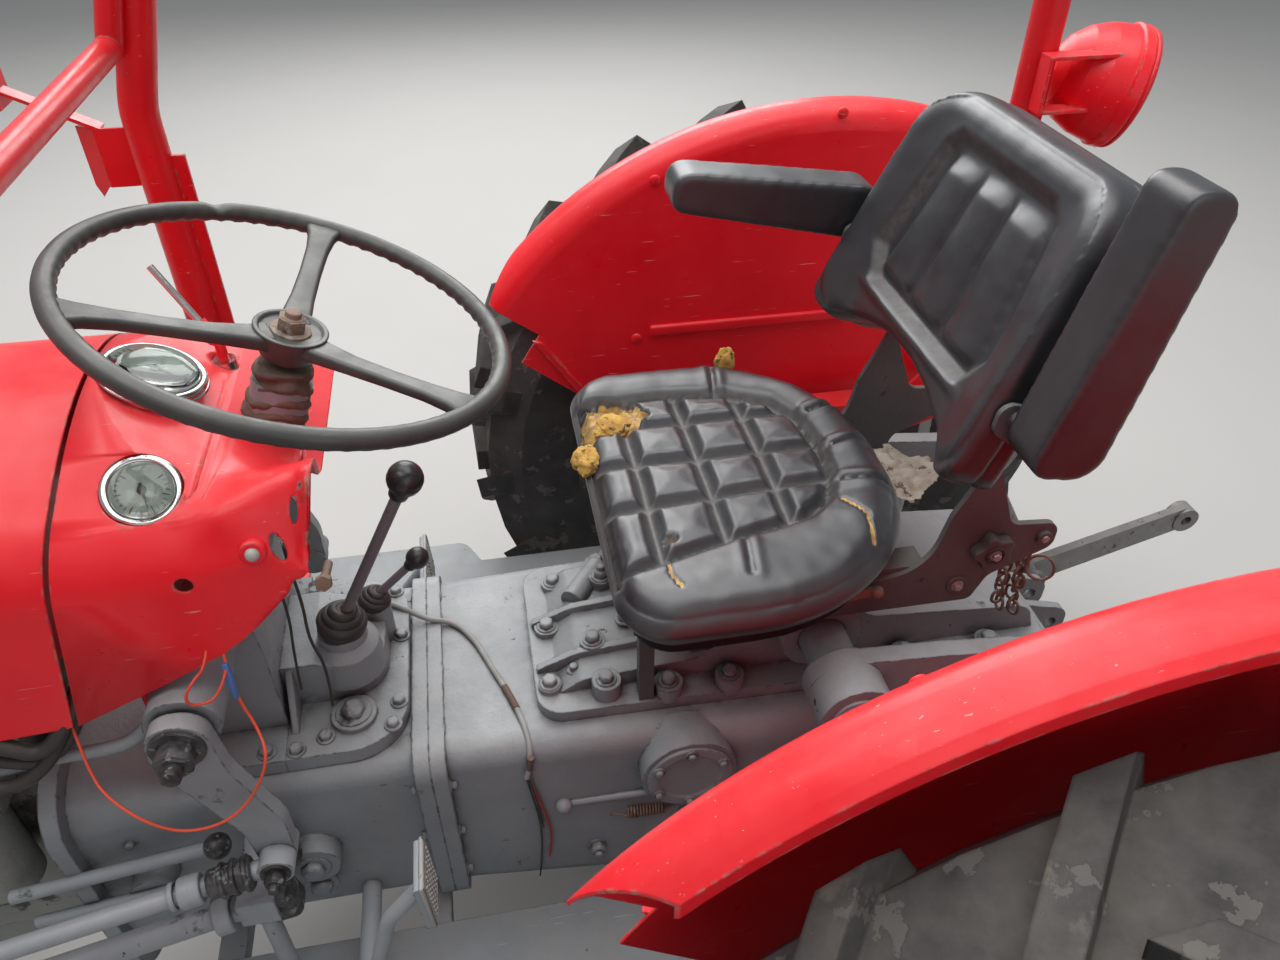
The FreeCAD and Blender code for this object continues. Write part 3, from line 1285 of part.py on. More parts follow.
save("engine", engine())
save("exhaust", exhaust())
save("front_bolster", front_bolster())
save("front_axle", front_axle())
save_pair("radius_rods", radius_rod())
save("radiator", radiator())
save("cooling_fan", cooling_fan())
save("fuel_tank", fuel_tank())
save("clutch_housing", clutch_housing())
save("gearbox_cover", gearbox_cover())
save("gear_levers", gear_levers())
save("centre_housing", centre_housing())
save_pair("axle_tubes", axle_tube())
save("rear_cover", rear_cover())
save("lift_cover", lift_cover())
save("drawbar", drawbar())
save("steering_box", steering_box())
save("instrument_cowl", instrument_cowl())
save("dash_fittings", dash_fittings())
save_pair("fenders", fender())
save("footplates", footplates())
save("pedals", pedals())
save_pair("front_posts", front_post())
save_pair("rear_posts", rear_post())
save("roof_frame", roof_frame())
save("front_cross_tube", front_cross_tube())
save("work_lamp", work_lamp())
save("seat_frame", seat_frame())
save("seat_cushion", seat_cushion())
save("seat_back", seat_back())
save("hood", hood())
save("grille", grille())
save_pair("headlamps", headlamp())
save("steering_wheel", steering_wheel())
save_sides("knuckle", knuckle())
save_sides("front_rim", front_rim())
save_sides("front_tyre", front_tyre())
save_sides("rear_rim", rear_rim())
save_sides("rear_tyre", rear_tyre())
save_sides("drop_arm", drop_arm())
save_sides("drag_link", drag_link())
save("lift_arms", lift_arms())
save_sides("lift_rod", lift_rod())
save_sides("lower_link", lower_link())
save("armrest_left", armrest(armrest_folded))
save("armrest_right", mirrored(armrest(armrest_rise)))
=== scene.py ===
import bmesh
import bpy
import math
import numpy as np
import random
from mathutils import Matrix, Vector, noise


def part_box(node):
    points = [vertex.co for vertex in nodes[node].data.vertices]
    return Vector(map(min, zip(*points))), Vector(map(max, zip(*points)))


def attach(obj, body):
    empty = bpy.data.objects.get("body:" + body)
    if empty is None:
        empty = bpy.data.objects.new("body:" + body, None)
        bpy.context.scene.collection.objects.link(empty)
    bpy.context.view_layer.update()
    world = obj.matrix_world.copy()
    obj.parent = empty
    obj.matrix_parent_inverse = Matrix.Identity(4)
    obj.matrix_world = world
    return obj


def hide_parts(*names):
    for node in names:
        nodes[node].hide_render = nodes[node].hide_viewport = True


# Compact farm tractor with a four-post safety frame, worn red sheet metal and grey castings.
# Metres, +X forward, +Y left, +Z up. Places along the tractor are measured from the rear axle.

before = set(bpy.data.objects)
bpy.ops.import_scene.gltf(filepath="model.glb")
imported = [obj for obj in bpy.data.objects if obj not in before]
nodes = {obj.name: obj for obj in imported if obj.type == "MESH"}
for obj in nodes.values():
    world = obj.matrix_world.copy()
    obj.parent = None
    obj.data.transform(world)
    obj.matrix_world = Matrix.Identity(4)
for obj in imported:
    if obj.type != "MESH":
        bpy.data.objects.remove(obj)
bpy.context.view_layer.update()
rearAxleX = sum(corner.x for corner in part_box("rear_rim_left")) / 2
bpy.context.scene.view_settings.view_transform = "Standard"
random.seed(7)
print("frame loaded:", len(nodes), "CAD nodes")


def at(x, y, z):
    return Vector((rearAxleX + x, y, z))


# Selecting, editing and finishing pieces
def settle():
    if bpy.context.mode != "OBJECT":
        bpy.ops.object.mode_set(mode="OBJECT")
    bpy.ops.object.select_all(action="DESELECT")


def pick(piece):
    settle()
    piece.select_set(True)
    bpy.context.view_layer.objects.active = piece
    return piece


def fixPlace(piece):
    pick(piece)
    bpy.ops.object.transform_apply(location=True, rotation=True, scale=True)
    return piece


def block(centre, size, turn=(0, 0, 0)):
    settle()
    bpy.ops.mesh.primitive_cube_add(size=1, location=centre, rotation=turn)
    bpy.context.object.scale = size
    return fixPlace(bpy.context.object)


def barrel(start, end, radius, sides=24, endRadius=None):
    start, end = Vector(start), Vector(end)
    along = end - start
    turn = along.to_track_quat("Z", "Y").to_euler()
    settle()
    if endRadius is None:
        bpy.ops.mesh.primitive_cylinder_add(vertices=sides, radius=radius, depth=along.length,
                                            location=(start + end) / 2, rotation=turn)
    else:
        bpy.ops.mesh.primitive_cone_add(vertices=sides, radius1=radius, radius2=endRadius, depth=along.length,
                                        location=(start + end) / 2, rotation=turn)
    return fixPlace(bpy.context.object)


def ball(centre, radius, segments=24, rings=14):
    settle()
    bpy.ops.mesh.primitive_uv_sphere_add(segments=segments, ring_count=rings, radius=radius, location=centre)
    return fixPlace(bpy.context.object)


def hoop(centre, axis, radius, thickness, around=48, across=12):
    settle()
    turn = Vector(axis).to_track_quat("Z", "Y").to_euler()
    bpy.ops.mesh.primitive_torus_add(major_radius=radius, minor_radius=thickness, major_segments=around,
                                     minor_segments=across, location=centre, rotation=turn)
    return fixPlace(bpy.context.object)


def editWhere(piece, wanted, kind="FACE"):
    # opens edit mode with only the wanted faces or edges selected
    pick(piece)
    bpy.ops.object.mode_set(mode="EDIT")
    bpy.ops.mesh.select_mode(type=kind)
    bpy.ops.mesh.select_all(action="DESELECT")
    mesh = bmesh.from_edit_mesh(piece.data)
    if kind == "FACE":
        for face in mesh.faces:
            face.select_set(bool(wanted(face.calc_center_median(), face.normal)))
    else:
        for edge in mesh.edges:
            ends = [corner.co for corner in edge.verts]
            edge.select_set(bool(wanted((ends[0] + ends[1]) / 2, (ends[1] - ends[0]).normalized())))
    bmesh.update_edit_mesh(piece.data)
    return piece


def facing(direction, limit=0.9):
    direction = Vector(direction).normalized()
    return lambda centre, normal: normal.dot(direction) > limit


def insetPick(width, depth=0.0):
    bpy.ops.mesh.inset(thickness=width, depth=depth)


def pushPick(offset):
    bpy.ops.mesh.extrude_region_move(TRANSFORM_OT_translate={"value": tuple(offset)})


def stepFace(piece, direction, *steps):
    # insets the faces that look one way, each step by a width and a depth
    editWhere(piece, facing(direction))
    for width, depth in steps:
        insetPick(width, depth)
    settle()
    return piece


def modify(piece, kind, **settings):
    pick(piece)
    changer = piece.modifiers.new(kind, kind)
    for key, value in settings.items():
        setattr(changer, key, value)
    bpy.ops.object.modifier_apply(modifier=changer.name)
    return piece


def softEdges(piece, width, steps=2, limit=35):
    return modify(piece, "BEVEL", width=width, segments=steps, limit_method="ANGLE",
                  angle_limit=math.radians(limit))


def joinAll(pieces):
    settle()
    for piece in pieces:
        piece.select_set(True)
    bpy.context.view_layer.objects.active = pieces[0]
    if len(pieces) > 1:
        bpy.ops.object.join()
    return bpy.context.object


def copyTo(model, place, direction=(0, 0, 1), spin=0.0):
    # a copy with its own mesh, its up axis along the direction
    twin = model.copy()
    twin.data = model.data.copy()
    bpy.context.scene.collection.objects.link(twin)
    turn = Vector(direction).to_track_quat("Z", "Y").to_matrix().to_4x4()
    twin.matrix_world = Matrix.Translation(Vector(place)) @ turn @ Matrix.Rotation(spin, 4, "Z")
    return fixPlace(twin)


def drop(model):
    bpy.data.objects.remove(model)


def bentTube(route, radius, sides=3):
    # a smooth round tube along places measured from the rear axle
    settle()
    bpy.ops.curve.primitive_nurbs_path_add(location=(0, 0, 0))
    path = bpy.context.object
    path.data.splines.clear()
    spline = path.data.splines.new("NURBS")
    spline.points.add(len(route) - 1)
    for point, spot in zip(spline.points, route):
        point.co = (*at(*spot), 1)
    spline.order_u = 3
    spline.use_endpoint_u = True
    spline.resolution_u = 6
    path.data.bevel_depth = radius
    path.data.bevel_resolution = sides
    path.data.use_fill_caps = True
    bpy.ops.object.convert(target="MESH")
    return fixPlace(bpy.context.object)


def finishPiece(piece, name, finish, smooth=38, body="chassis"):
    # a list of parts becomes one piece
    if isinstance(piece, list):
        piece = joinAll(piece)
    pick(piece)
    bpy.ops.object.shade_smooth_by_angle(angle=math.radians(smooth))
    piece.name = name
    piece.data.name = name
    piece.data.materials.clear()
    piece.data.materials.append(finishes[finish])
    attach(piece, body)
    return piece


# Building blocks of the finishes
def addNode(tree, kind, settings=None, inputs=None):
    made = tree.nodes.new("ShaderNode" + kind)
    for key, value in (settings or {}).items():
        setattr(made, key, value)
    for key, value in (inputs or {}).items():
        if isinstance(value, bpy.types.NodeSocket):
            tree.links.new(value, made.inputs[key])
        else:
            made.inputs[key].default_value = value
    return made


def ranged(tree, value, low, high, start=0.0, end=1.0):
    return addNode(tree, "MapRange", None, {"Value": value, "From Min": low, "From Max": high,
                                            "To Min": start, "To Max": end}).outputs[0]


def times(tree, first, second):
    return addNode(tree, "Math", {"operation": "MULTIPLY"}, {0: first, 1: second}).outputs[0]


def larger(tree, first, second):
    return addNode(tree, "Math", {"operation": "MAXIMUM"}, {0: first, 1: second}).outputs[0]


def spread(tree, stretch=(1, 1, 1), turn=(0, 0, 0), shift=(0, 0, 0)):
    place = addNode(tree, "TexCoord").outputs["Object"]
    return addNode(tree, "Mapping", None, {"Vector": place, "Scale": stretch, "Rotation": turn,
                                           "Location": shift}).outputs["Vector"]


def cloudy(tree, scale, detail=4.0, stretch=(1, 1, 1), turn=(0, 0, 0), shift=(0, 0, 0)):
    return addNode(tree, "TexNoise", None, {"Vector": spread(tree, stretch, turn, shift), "Scale": scale,
                                            "Detail": detail, "Roughness": 0.62}).outputs[0]


def spots(tree, scale, low, high, detail=5.0, **where):
    return ranged(tree, cloudy(tree, scale, detail, **where), low, high)


def overlay(tree, amount, under, over):
    mixed = addNode(tree, "Mix", {"data_type": "RGBA"})
    for index, value in ((0, amount), (6, under), (7, over)):
        if isinstance(value, bpy.types.NodeSocket):
            tree.links.new(value, mixed.inputs[index])
        elif index == 0:
            mixed.inputs[0].default_value = value
        else:
            mixed.inputs[index].default_value = (*value[:3], 1)
    return mixed.outputs[2]


def upward(tree, low=0.3, high=0.95):
    normal = addNode(tree, "TexCoord").outputs["Normal"]
    return ranged(tree, addNode(tree, "SeparateXYZ", None, {0: normal}).outputs[2], low, high)


def edgeWear(tree, reach):
    soft = addNode(tree, "Bevel", {"samples": 4}, {"Radius": reach}).outputs["Normal"]
    hard = addNode(tree, "NewGeometry").outputs["Normal"]
    likeness = addNode(tree, "VectorMath", {"operation": "DOT_PRODUCT"}, {0: soft, 1: hard}).outputs["Value"]
    return ranged(tree, likeness, 0.985, 0.86)


# ambient occlusion mask for painted shade in corners, crevices and between parts
def corners(tree, reach):
    shade = addNode(tree, "AmbientOcclusion", {"samples": 4}, {"Distance": reach}).outputs["AO"]
    return ranged(tree, shade, 0.82, 0.35)


def scratches(tree, amount):
    # thin stretched streaks in three directions
    marks = None
    for turn, shift in (((0.3, 0.9, 0.2), 0.0), ((1.2, 0.1, 0.8), 3.1), ((0.7, 0.4, 2.3), 5.7)):
        streak = spots(tree, 9, 0.735 - amount, 0.76 - amount, 3.0, stretch=(1.2, 26, 26), turn=turn,
                       shift=(shift, shift, shift))
        marks = streak if marks is None else larger(tree, marks, streak)
    return marks


def makeFinish(look):
    # painted, cast, rubber or plastic surface in layers: tone, fading, wear, chips, scratches, crevice dirt
    # with painted shade, dust
    finish = bpy.data.materials.new(look["name"])
    finish.use_nodes = True
    tree = finish.node_tree
    shader = tree.nodes["Principled BSDF"]
    colour = overlay(tree, spots(tree, look.get("cloud", 6), 0.38, 0.66), look["colour"], look["second"])
    rough = ranged(tree, cloudy(tree, 38), 0.3, 0.7, look["rough"][0], look["rough"][1])
    hollow = None
    if "faded" in look:
        amount = times(tree, upward(tree), spots(tree, 9, 0.25, 0.75))
        colour = overlay(tree, times(tree, amount, look["fade"]), colour, look["faded"])
    if "chip" in look:
        chipped = spots(tree, look.get("chipScale", 46), look["chipFrom"], look["chipFrom"] + 0.012, 6.0)
        if "wear" in look:
            worn = times(tree, edgeWear(tree, look["wear"]), spots(tree, 55, 0.5, 0.56))
            chipped = larger(tree, chipped, worn)
        bare = overlay(tree, spots(tree, 60, 0.42, 0.6), look["chip"], look.get("bare", look["chip"]))
        colour = overlay(tree, chipped, colour, bare)
        rough = addNode(tree, "Mix", None, {0: chipped, 2: rough, 3: 0.75}).outputs[0]
        hollow = chipped
    if "scratch" in look:
        marks = times(tree, scratches(tree, look["scratched"]), spots(tree, 5, 0.42, 0.5))
        colour = overlay(tree, marks, colour, look["scratch"])
    if "grimeAndShade" in look:
        # painted shade: the crevice colour goes where ambient occlusion finds corners and crevices, mixed
        # with random grease and dirt patches; on the tyres this colour is light dust
        amount = times(tree, corners(tree, look["shadeReach"]), spots(tree, 24, 0.34, 0.56))
        patch = spots(tree, 13, look["grimeFrom"], look["grimeFrom"] + 0.05, 6.0)
        grimeAndShadeMask = larger(tree, amount, patch)
        colour = overlay(tree, times(tree, grimeAndShadeMask, look["grimeAndShadeAmount"]), colour, look["grimeAndShade"])
    if "dust" in look:
        amount = times(tree, upward(tree, -0.4, 0.9), spots(tree, 17, 0.3, 0.72, 6.0))
        colour = overlay(tree, times(tree, amount, look["dusted"]), colour, look["dust"])
        rough = addNode(tree, "Mix", None, {0: times(tree, amount, look["dusted"]), 2: rough,
                                            3: 0.9}).outputs[0]
    tree.links.new(colour, shader.inputs["Base Color"])
    tree.links.new(rough, shader.inputs["Roughness"])
    shader.inputs["Metallic"].default_value = look.get("metal", 0.0)
    shader.inputs["Specular IOR Level"].default_value = look.get("gloss", 0.5)
    shader.inputs["Coat Weight"].default_value = look.get("coat", 0.0)
    shader.inputs["Coat Roughness"].default_value = look.get("coatRough", 0.15)
    height = cloudy(tree, look["grain"][0], 3.0)
    if hollow is not None:
        height = addNode(tree, "Math", {"operation": "MULTIPLY_ADD"},
                         {0: hollow, 1: -1.5, 2: height}).outputs[0]
    bump = addNode(tree, "Bump", None, {"Strength": look["grain"][2], "Distance": look["grain"][1],
                                        "Height": height})
    if "rounded" in look:
        tree.links.new(addNode(tree, "Bevel", {"samples": 4}, {"Radius": look["rounded"]}).outputs["Normal"],
                       bump.inputs["Normal"])
    tree.links.new(bump.outputs["Normal"], shader.inputs["Normal"])
    return finish


# rough: smoothest and dullest; grain: scale, height and strength; the crevice colour is grease and dirt
# together with painted shade where ambient occlusion finds corners (light dust on the tyres)
looks = (
    {"name": "sheetRed", "colour": (0.80, 0.004, 0.014), "second": (0.88, 0.008, 0.020),
     "rough": (0.26, 0.44), "faded": (0.80, 0.13, 0.13), "fade": 0.5, "chip": (0.40, 0.33, 0.27),
     "bare": (0.16, 0.07, 0.045), "chipFrom": 0.735, "wear": 0.004, "scratch": (0.72, 0.30, 0.26),
     "scratched": 0.025, "dust": (0.60, 0.36, 0.30), "dusted": 0.05, "grain": (90, 0.0006, 0.25),
     "rounded": 0.003, "coat": 0.08, "gloss": 0.34},
    {"name": "frameRed", "colour": (0.64, 0.004, 0.011), "second": (0.72, 0.008, 0.015),
     "rough": (0.26, 0.45), "faded": (0.74, 0.11, 0.11), "fade": 0.4, "chip": (0.30, 0.22, 0.18),
     "bare": (0.13, 0.06, 0.04), "chipFrom": 0.72, "wear": 0.004, "scratch": (0.66, 0.30, 0.26),
     "scratched": 0.02, "dust": (0.45, 0.33, 0.26), "dusted": 0.07, "grain": (120, 0.0006, 0.3),
     "rounded": 0.002, "coat": 0.12, "gloss": 0.38},
    {"name": "castGrey", "colour": (0.205, 0.232, 0.248), "second": (0.255, 0.284, 0.298),
     "rough": (0.34, 0.58), "faded": (0.46, 0.49, 0.49), "fade": 0.7, "chip": (0.035, 0.032, 0.028),
     "bare": (0.06, 0.045, 0.03), "chipFrom": 0.70, "wear": 0.004, "grimeAndShade": (0.022, 0.019, 0.015),
     "shadeReach": 0.03, "grimeFrom": 0.66, "grimeAndShadeAmount": 0.9, "dust": (0.42, 0.41, 0.36), "dusted": 0.2,
     "grain": (160, 0.0016, 0.5), "rounded": 0.004, "coat": 0.1},
    {"name": "engineGrey", "colour": (0.20, 0.215, 0.205), "second": (0.255, 0.27, 0.25),
     "rough": (0.4, 0.65), "faded": (0.34, 0.35, 0.32), "fade": 0.5, "chip": (0.03, 0.027, 0.022),
     "bare": (0.07, 0.045, 0.03), "chipFrom": 0.68, "wear": 0.004, "grimeAndShade": (0.02, 0.017, 0.013),
     "shadeReach": 0.05, "grimeFrom": 0.6, "grimeAndShadeAmount": 0.9, "dust": (0.33, 0.30, 0.24), "dusted": 0.3,
     "grain": (130, 0.002, 0.5), "rounded": 0.004},
    {"name": "darkSteel", "colour": (0.16, 0.16, 0.16), "second": (0.22, 0.215, 0.21), "rough": (0.4, 0.62),
     "faded": (0.32, 0.31, 0.29), "fade": 0.5, "chip": (0.14, 0.06, 0.035), "bare": (0.05, 0.04, 0.03),
     "chipFrom": 0.62, "wear": 0.003, "grimeAndShade": (0.02, 0.017, 0.013), "shadeReach": 0.03, "grimeFrom": 0.62,
     "grimeAndShadeAmount": 0.8, "dust": (0.30, 0.27, 0.22), "dusted": 0.25, "grain": (220, 0.0008, 0.4),
     "rounded": 0.002, "metal": 0.3},
    {"name": "rodGrey", "colour": (0.27, 0.30, 0.32), "second": (0.33, 0.355, 0.37), "rough": (0.3, 0.5),
     "faded": (0.42, 0.45, 0.46), "fade": 0.6, "chip": (0.03, 0.027, 0.024), "bare": (0.05, 0.04, 0.03),
     "chipFrom": 0.68, "wear": 0.003, "grimeAndShade": (0.02, 0.018, 0.014), "shadeReach": 0.02, "grimeFrom": 0.655,
     "grimeAndShadeAmount": 0.9, "grain": (200, 0.0008, 0.4), "rounded": 0.003},
    {"name": "leverGrey", "colour": (0.135, 0.115, 0.13), "second": (0.17, 0.15, 0.16), "rough": (0.35, 0.5),
     "chip": (0.09, 0.07, 0.06), "chipFrom": 0.68, "dust": (0.3, 0.28, 0.25), "dusted": 0.2,
     "grain": (300, 0.0004, 0.3), "rounded": 0.002},
    {"name": "bareSteel", "colour": (0.42, 0.41, 0.39), "second": (0.5, 0.49, 0.47), "rough": (0.32, 0.5),
     "chip": (0.16, 0.08, 0.045), "bare": (0.24, 0.13, 0.07), "chipFrom": 0.66, "grimeAndShade": (0.05, 0.04, 0.03),
     "shadeReach": 0.02, "grimeFrom": 0.68, "grimeAndShadeAmount": 0.8, "grain": (240, 0.0006, 0.3), "metal": 0.7,
     "rounded": 0.0015},
    {"name": "rustySteel", "colour": (0.16, 0.085, 0.055), "second": (0.22, 0.15, 0.115),
     "rough": (0.6, 0.85), "faded": (0.33, 0.27, 0.22), "fade": 0.6, "chip": (0.07, 0.035, 0.02),
     "bare": (0.30, 0.26, 0.23), "chipFrom": 0.58, "dust": (0.36, 0.31, 0.25), "dusted": 0.3,
     "grain": (150, 0.0015, 0.6), "rounded": 0.002},
    {"name": "exhaustRust", "colour": (0.15, 0.065, 0.035), "second": (0.22, 0.11, 0.06),
     "rough": (0.7, 0.9), "chip": (0.07, 0.04, 0.03), "bare": (0.28, 0.16, 0.09), "chipFrom": 0.56,
     "grain": (120, 0.002, 0.6), "rounded": 0.003},
    {"name": "rimPaint", "colour": (0.40, 0.40, 0.385), "second": (0.48, 0.475, 0.46), "rough": (0.4, 0.6),
     "chip": (0.18, 0.085, 0.05), "bare": (0.10, 0.06, 0.04), "chipFrom": 0.66, "wear": 0.004,
     "grimeAndShade": (0.10, 0.075, 0.05), "shadeReach": 0.04, "grimeFrom": 0.66, "grimeAndShadeAmount": 0.7,
     "dust": (0.36, 0.31, 0.25), "dusted": 0.35, "grain": (110, 0.0008, 0.3), "rounded": 0.003},
    {"name": "tyreRubber", "colour": (0.030, 0.030, 0.031), "second": (0.052, 0.051, 0.050),
     "rough": (0.62, 0.85), "cloud": 14, "chip": (0.10, 0.095, 0.088), "chipFrom": 0.6, "chipScale": 22,
     "grimeAndShade": (0.17, 0.15, 0.125), "shadeReach": 0.035, "grimeFrom": 0.62, "grimeAndShadeAmount": 0.55,
     "dust": (0.17, 0.155, 0.135), "dusted": 0.55, "grain": (180, 0.0014, 0.5), "rounded": 0.005,
     "gloss": 0.3},
    {"name": "blackPlastic", "colour": (0.018, 0.018, 0.020), "second": (0.028, 0.028, 0.029),
     "rough": (0.28, 0.5), "dust": (0.16, 0.15, 0.13), "dusted": 0.2, "grain": (320, 0.0003, 0.3)},
    {"name": "wheelPlastic", "colour": (0.030, 0.033, 0.031), "second": (0.052, 0.056, 0.051),
     "rough": (0.34, 0.55), "cloud": 12, "faded": (0.15, 0.15, 0.135), "fade": 0.6,
     "chip": (0.42, 0.40, 0.37), "bare": (0.45, 0.05, 0.05), "chipFrom": 0.745, "chipScale": 30,
     "grain": (260, 0.0006, 0.4)},
    {"name": "blackRubber", "colour": (0.020, 0.019, 0.018), "second": (0.038, 0.034, 0.030),
     "rough": (0.4, 0.65), "dust": (0.15, 0.13, 0.11), "dusted": 0.35, "grain": (200, 0.0008, 0.5)},
    {"name": "brownRubber", "colour": (0.085, 0.052, 0.038), "second": (0.14, 0.09, 0.065),
     "rough": (0.6, 0.85), "cloud": 22, "chip": (0.38, 0.06, 0.05), "chipFrom": 0.72,
     "dust": (0.24, 0.19, 0.15), "dusted": 0.4, "grain": (170, 0.0015, 0.7)},
    {"name": "radiatorBlack", "colour": (0.022, 0.022, 0.022), "second": (0.04, 0.038, 0.035),
     "rough": (0.5, 0.7), "dust": (0.22, 0.19, 0.15), "dusted": 0.3, "grain": (200, 0.0008, 0.3),
     "rounded": 0.003},
    {"name": "brightChrome", "colour": (0.72, 0.72, 0.70), "second": (0.62, 0.62, 0.60),
     "rough": (0.10, 0.26), "chip": (0.20, 0.12, 0.08), "chipFrom": 0.72, "grain": (200, 0.0002, 0.2),
     "metal": 1.0},
    {"name": "plateGrey", "colour": (0.205, 0.23, 0.245), "second": (0.25, 0.275, 0.29),
     "rough": (0.4, 0.62), "faded": (0.33, 0.35, 0.36), "fade": 0.5, "chip": (0.045, 0.04, 0.035),
     "bare": (0.10, 0.07, 0.05), "chipFrom": 0.69, "wear": 0.003, "scratch": (0.4, 0.4, 0.39),
     "scratched": 0.03, "dust": (0.30, 0.28, 0.24), "dusted": 0.35, "grain": (130, 0.001, 0.4),
     "rounded": 0.002},
    {"name": "knobBlack", "colour": (0.014, 0.014, 0.015), "second": (0.024, 0.024, 0.025),
     "rough": (0.2, 0.36), "dust": (0.16, 0.15, 0.13), "dusted": 0.12, "chip": (0.13, 0.125, 0.115),
     "chipFrom": 0.74, "chipScale": 80, "grain": (320, 0.0003, 0.2)},
    {"name": "darkPlastic", "colour": (0.050, 0.052, 0.050), "second": (0.085, 0.085, 0.080),
     "rough": (0.45, 0.65), "dust": (0.22, 0.21, 0.18), "dusted": 0.35, "grain": (260, 0.0006, 0.4)},
    {"name": "seatIron", "colour": (0.072, 0.080, 0.082), "second": (0.104, 0.106, 0.104),
     "rough": (0.42, 0.62), "faded": (0.23, 0.22, 0.20), "fade": 0.6, "chip": (0.11, 0.055, 0.032),
     "bare": (0.05, 0.035, 0.03), "chipFrom": 0.64, "dust": (0.27, 0.25, 0.21), "dusted": 0.3,
     "grain": (180, 0.001, 0.5), "rounded": 0.002},
    {"name": "greasyIron", "colour": (0.020, 0.018, 0.016), "second": (0.075, 0.080, 0.082),
     "rough": (0.25, 0.5), "cloud": 60, "chip": (0.17, 0.18, 0.18), "chipFrom": 0.6, "chipScale": 90,
     "grain": (150, 0.0014, 0.6)},
    {"name": "padGrey", "colour": (0.36, 0.36, 0.34), "second": (0.30, 0.30, 0.285), "rough": (0.5, 0.7),
     "chip": (0.10, 0.09, 0.08), "chipFrom": 0.66, "chipScale": 90, "grimeAndShade": (0.05, 0.045, 0.04),
     "shadeReach": 0.006, "grimeFrom": 0.7, "grimeAndShadeAmount": 0.7, "grain": (200, 0.0008, 0.4)},
    {"name": "dialPale", "colour": (0.36, 0.39, 0.36), "second": (0.44, 0.47, 0.43), "rough": (0.4, 0.5),
     "grain": (320, 0.0002, 0.1)},
    {"name": "dialMark", "colour": (0.10, 0.105, 0.10), "second": (0.13, 0.135, 0.13), "rough": (0.4, 0.5),
     "grain": (320, 0.0002, 0.1)},
    {"name": "orangeWire", "colour": (0.72, 0.085, 0.035), "second": (0.62, 0.06, 0.03),
     "rough": (0.4, 0.55), "grain": (260, 0.0002, 0.2)},
    {"name": "redWire", "colour": (0.50, 0.02, 0.03), "second": (0.42, 0.02, 0.03), "rough": (0.4, 0.55),
     "grain": (260, 0.0002, 0.2)},
    {"name": "bluePlastic", "colour": (0.06, 0.14, 0.36), "second": (0.08, 0.17, 0.40), "rough": (0.35, 0.5),
     "grain": (260, 0.0002, 0.2)},
    {"name": "paleCable", "colour": (0.36, 0.37, 0.36), "second": (0.28, 0.28, 0.26), "rough": (0.45, 0.65),
     "cloud": 30, "chip": (0.16, 0.10, 0.07), "chipFrom": 0.66, "chipScale": 70, "grain": (200, 0.0006, 0.3)},
    {"name": "ragCloth", "colour": (0.50, 0.45, 0.38), "second": (0.36, 0.30, 0.235), "rough": (0.9, 0.98),
     "cloud": 40, "chip": (0.17, 0.12, 0.085), "chipFrom": 0.60, "chipScale": 45,
     "grain": (600, 0.0008, 0.6), "gloss": 0.1},
    {"name": "oldFoam", "colour": (0.60, 0.38, 0.10), "second": (0.38, 0.20, 0.06), "rough": (0.85, 0.97),
     "cloud": 40, "chip": (0.12, 0.08, 0.05), "chipFrom": 0.6, "chipScale": 90, "grain": (140, 0.003, 0.9),
     "gloss": 0.15},
)
finishes = {look["name"]: makeFinish(look) for look in looks}


def markedFinish(look, marks):
    # a finish with extra layers where the mesh carries marks: name, two tones, dullness and cover
    finish = makeFinish(look)
    tree = finish.node_tree
    shader = tree.nodes["Principled BSDF"]
    colour = shader.inputs["Base Color"].links[0].from_socket
    rough = shader.inputs["Roughness"].links[0].from_socket
    for name, tone, other, dullness, cover in marks:
        layer = addNode(tree, "Attribute", {"attribute_name": name}).outputs["Fac"]
        amount = times(tree, ranged(tree, layer, 0.15, 0.75, 0.0, cover), spots(tree, 70, 0.26, 0.5))
        if name == "foam":
            amount = ranged(tree, layer, 0.35, 0.5, 0.0, cover)
        colour = overlay(tree, amount, colour, overlay(tree, spots(tree, 85, 0.4, 0.62), tone, other))
        rough = addNode(tree, "Mix", None, {0: amount, 2: rough, 3: dullness}).outputs[0]
    tree.links.new(colour, shader.inputs["Base Color"])
    tree.links.new(rough, shader.inputs["Roughness"])
    return finish


vinylLook = {"name": "seatVinyl", "colour": (0.0150, 0.0170, 0.0200), "second": (0.024, 0.027, 0.031),
             "rough": (0.34, 0.44), "cloud": 16, "dust": (0.16, 0.155, 0.15), "dusted": 0.08,
             "chip": (0.20, 0.19, 0.17), "chipFrom": 0.755, "chipScale": 60, "grain": (420, 0.0004, 0.35),
             "gloss": 0.9, "coat": 0.15, "coatRough": 0.28}
vinylMarks = (("hollow", (0.115, 0.105, 0.092), (0.060, 0.056, 0.050), 0.8, 0.55),
              ("foam", (0.54, 0.34, 0.10), (0.26, 0.15, 0.06), 0.95, 1.0),
              ("burn", (0.055, 0.04, 0.03), (0.10, 0.07, 0.04), 0.95, 1.0))
finishes["seatVinyl"] = markedFinish(vinylLook, vinylMarks)
glass = bpy.data.materials.new("oldGlass")
glass.use_nodes = True
glassShader = glass.node_tree.nodes["Principled BSDF"]
glassShader.inputs["Base Color"].default_value = (0.80, 0.86, 0.82, 1)
glassShader.inputs["Roughness"].default_value = 0.06
glassShader.inputs["Transmission Weight"].default_value = 1.0
glassShader.inputs["IOR"].default_value = 1.45
finishes["oldGlass"] = glass

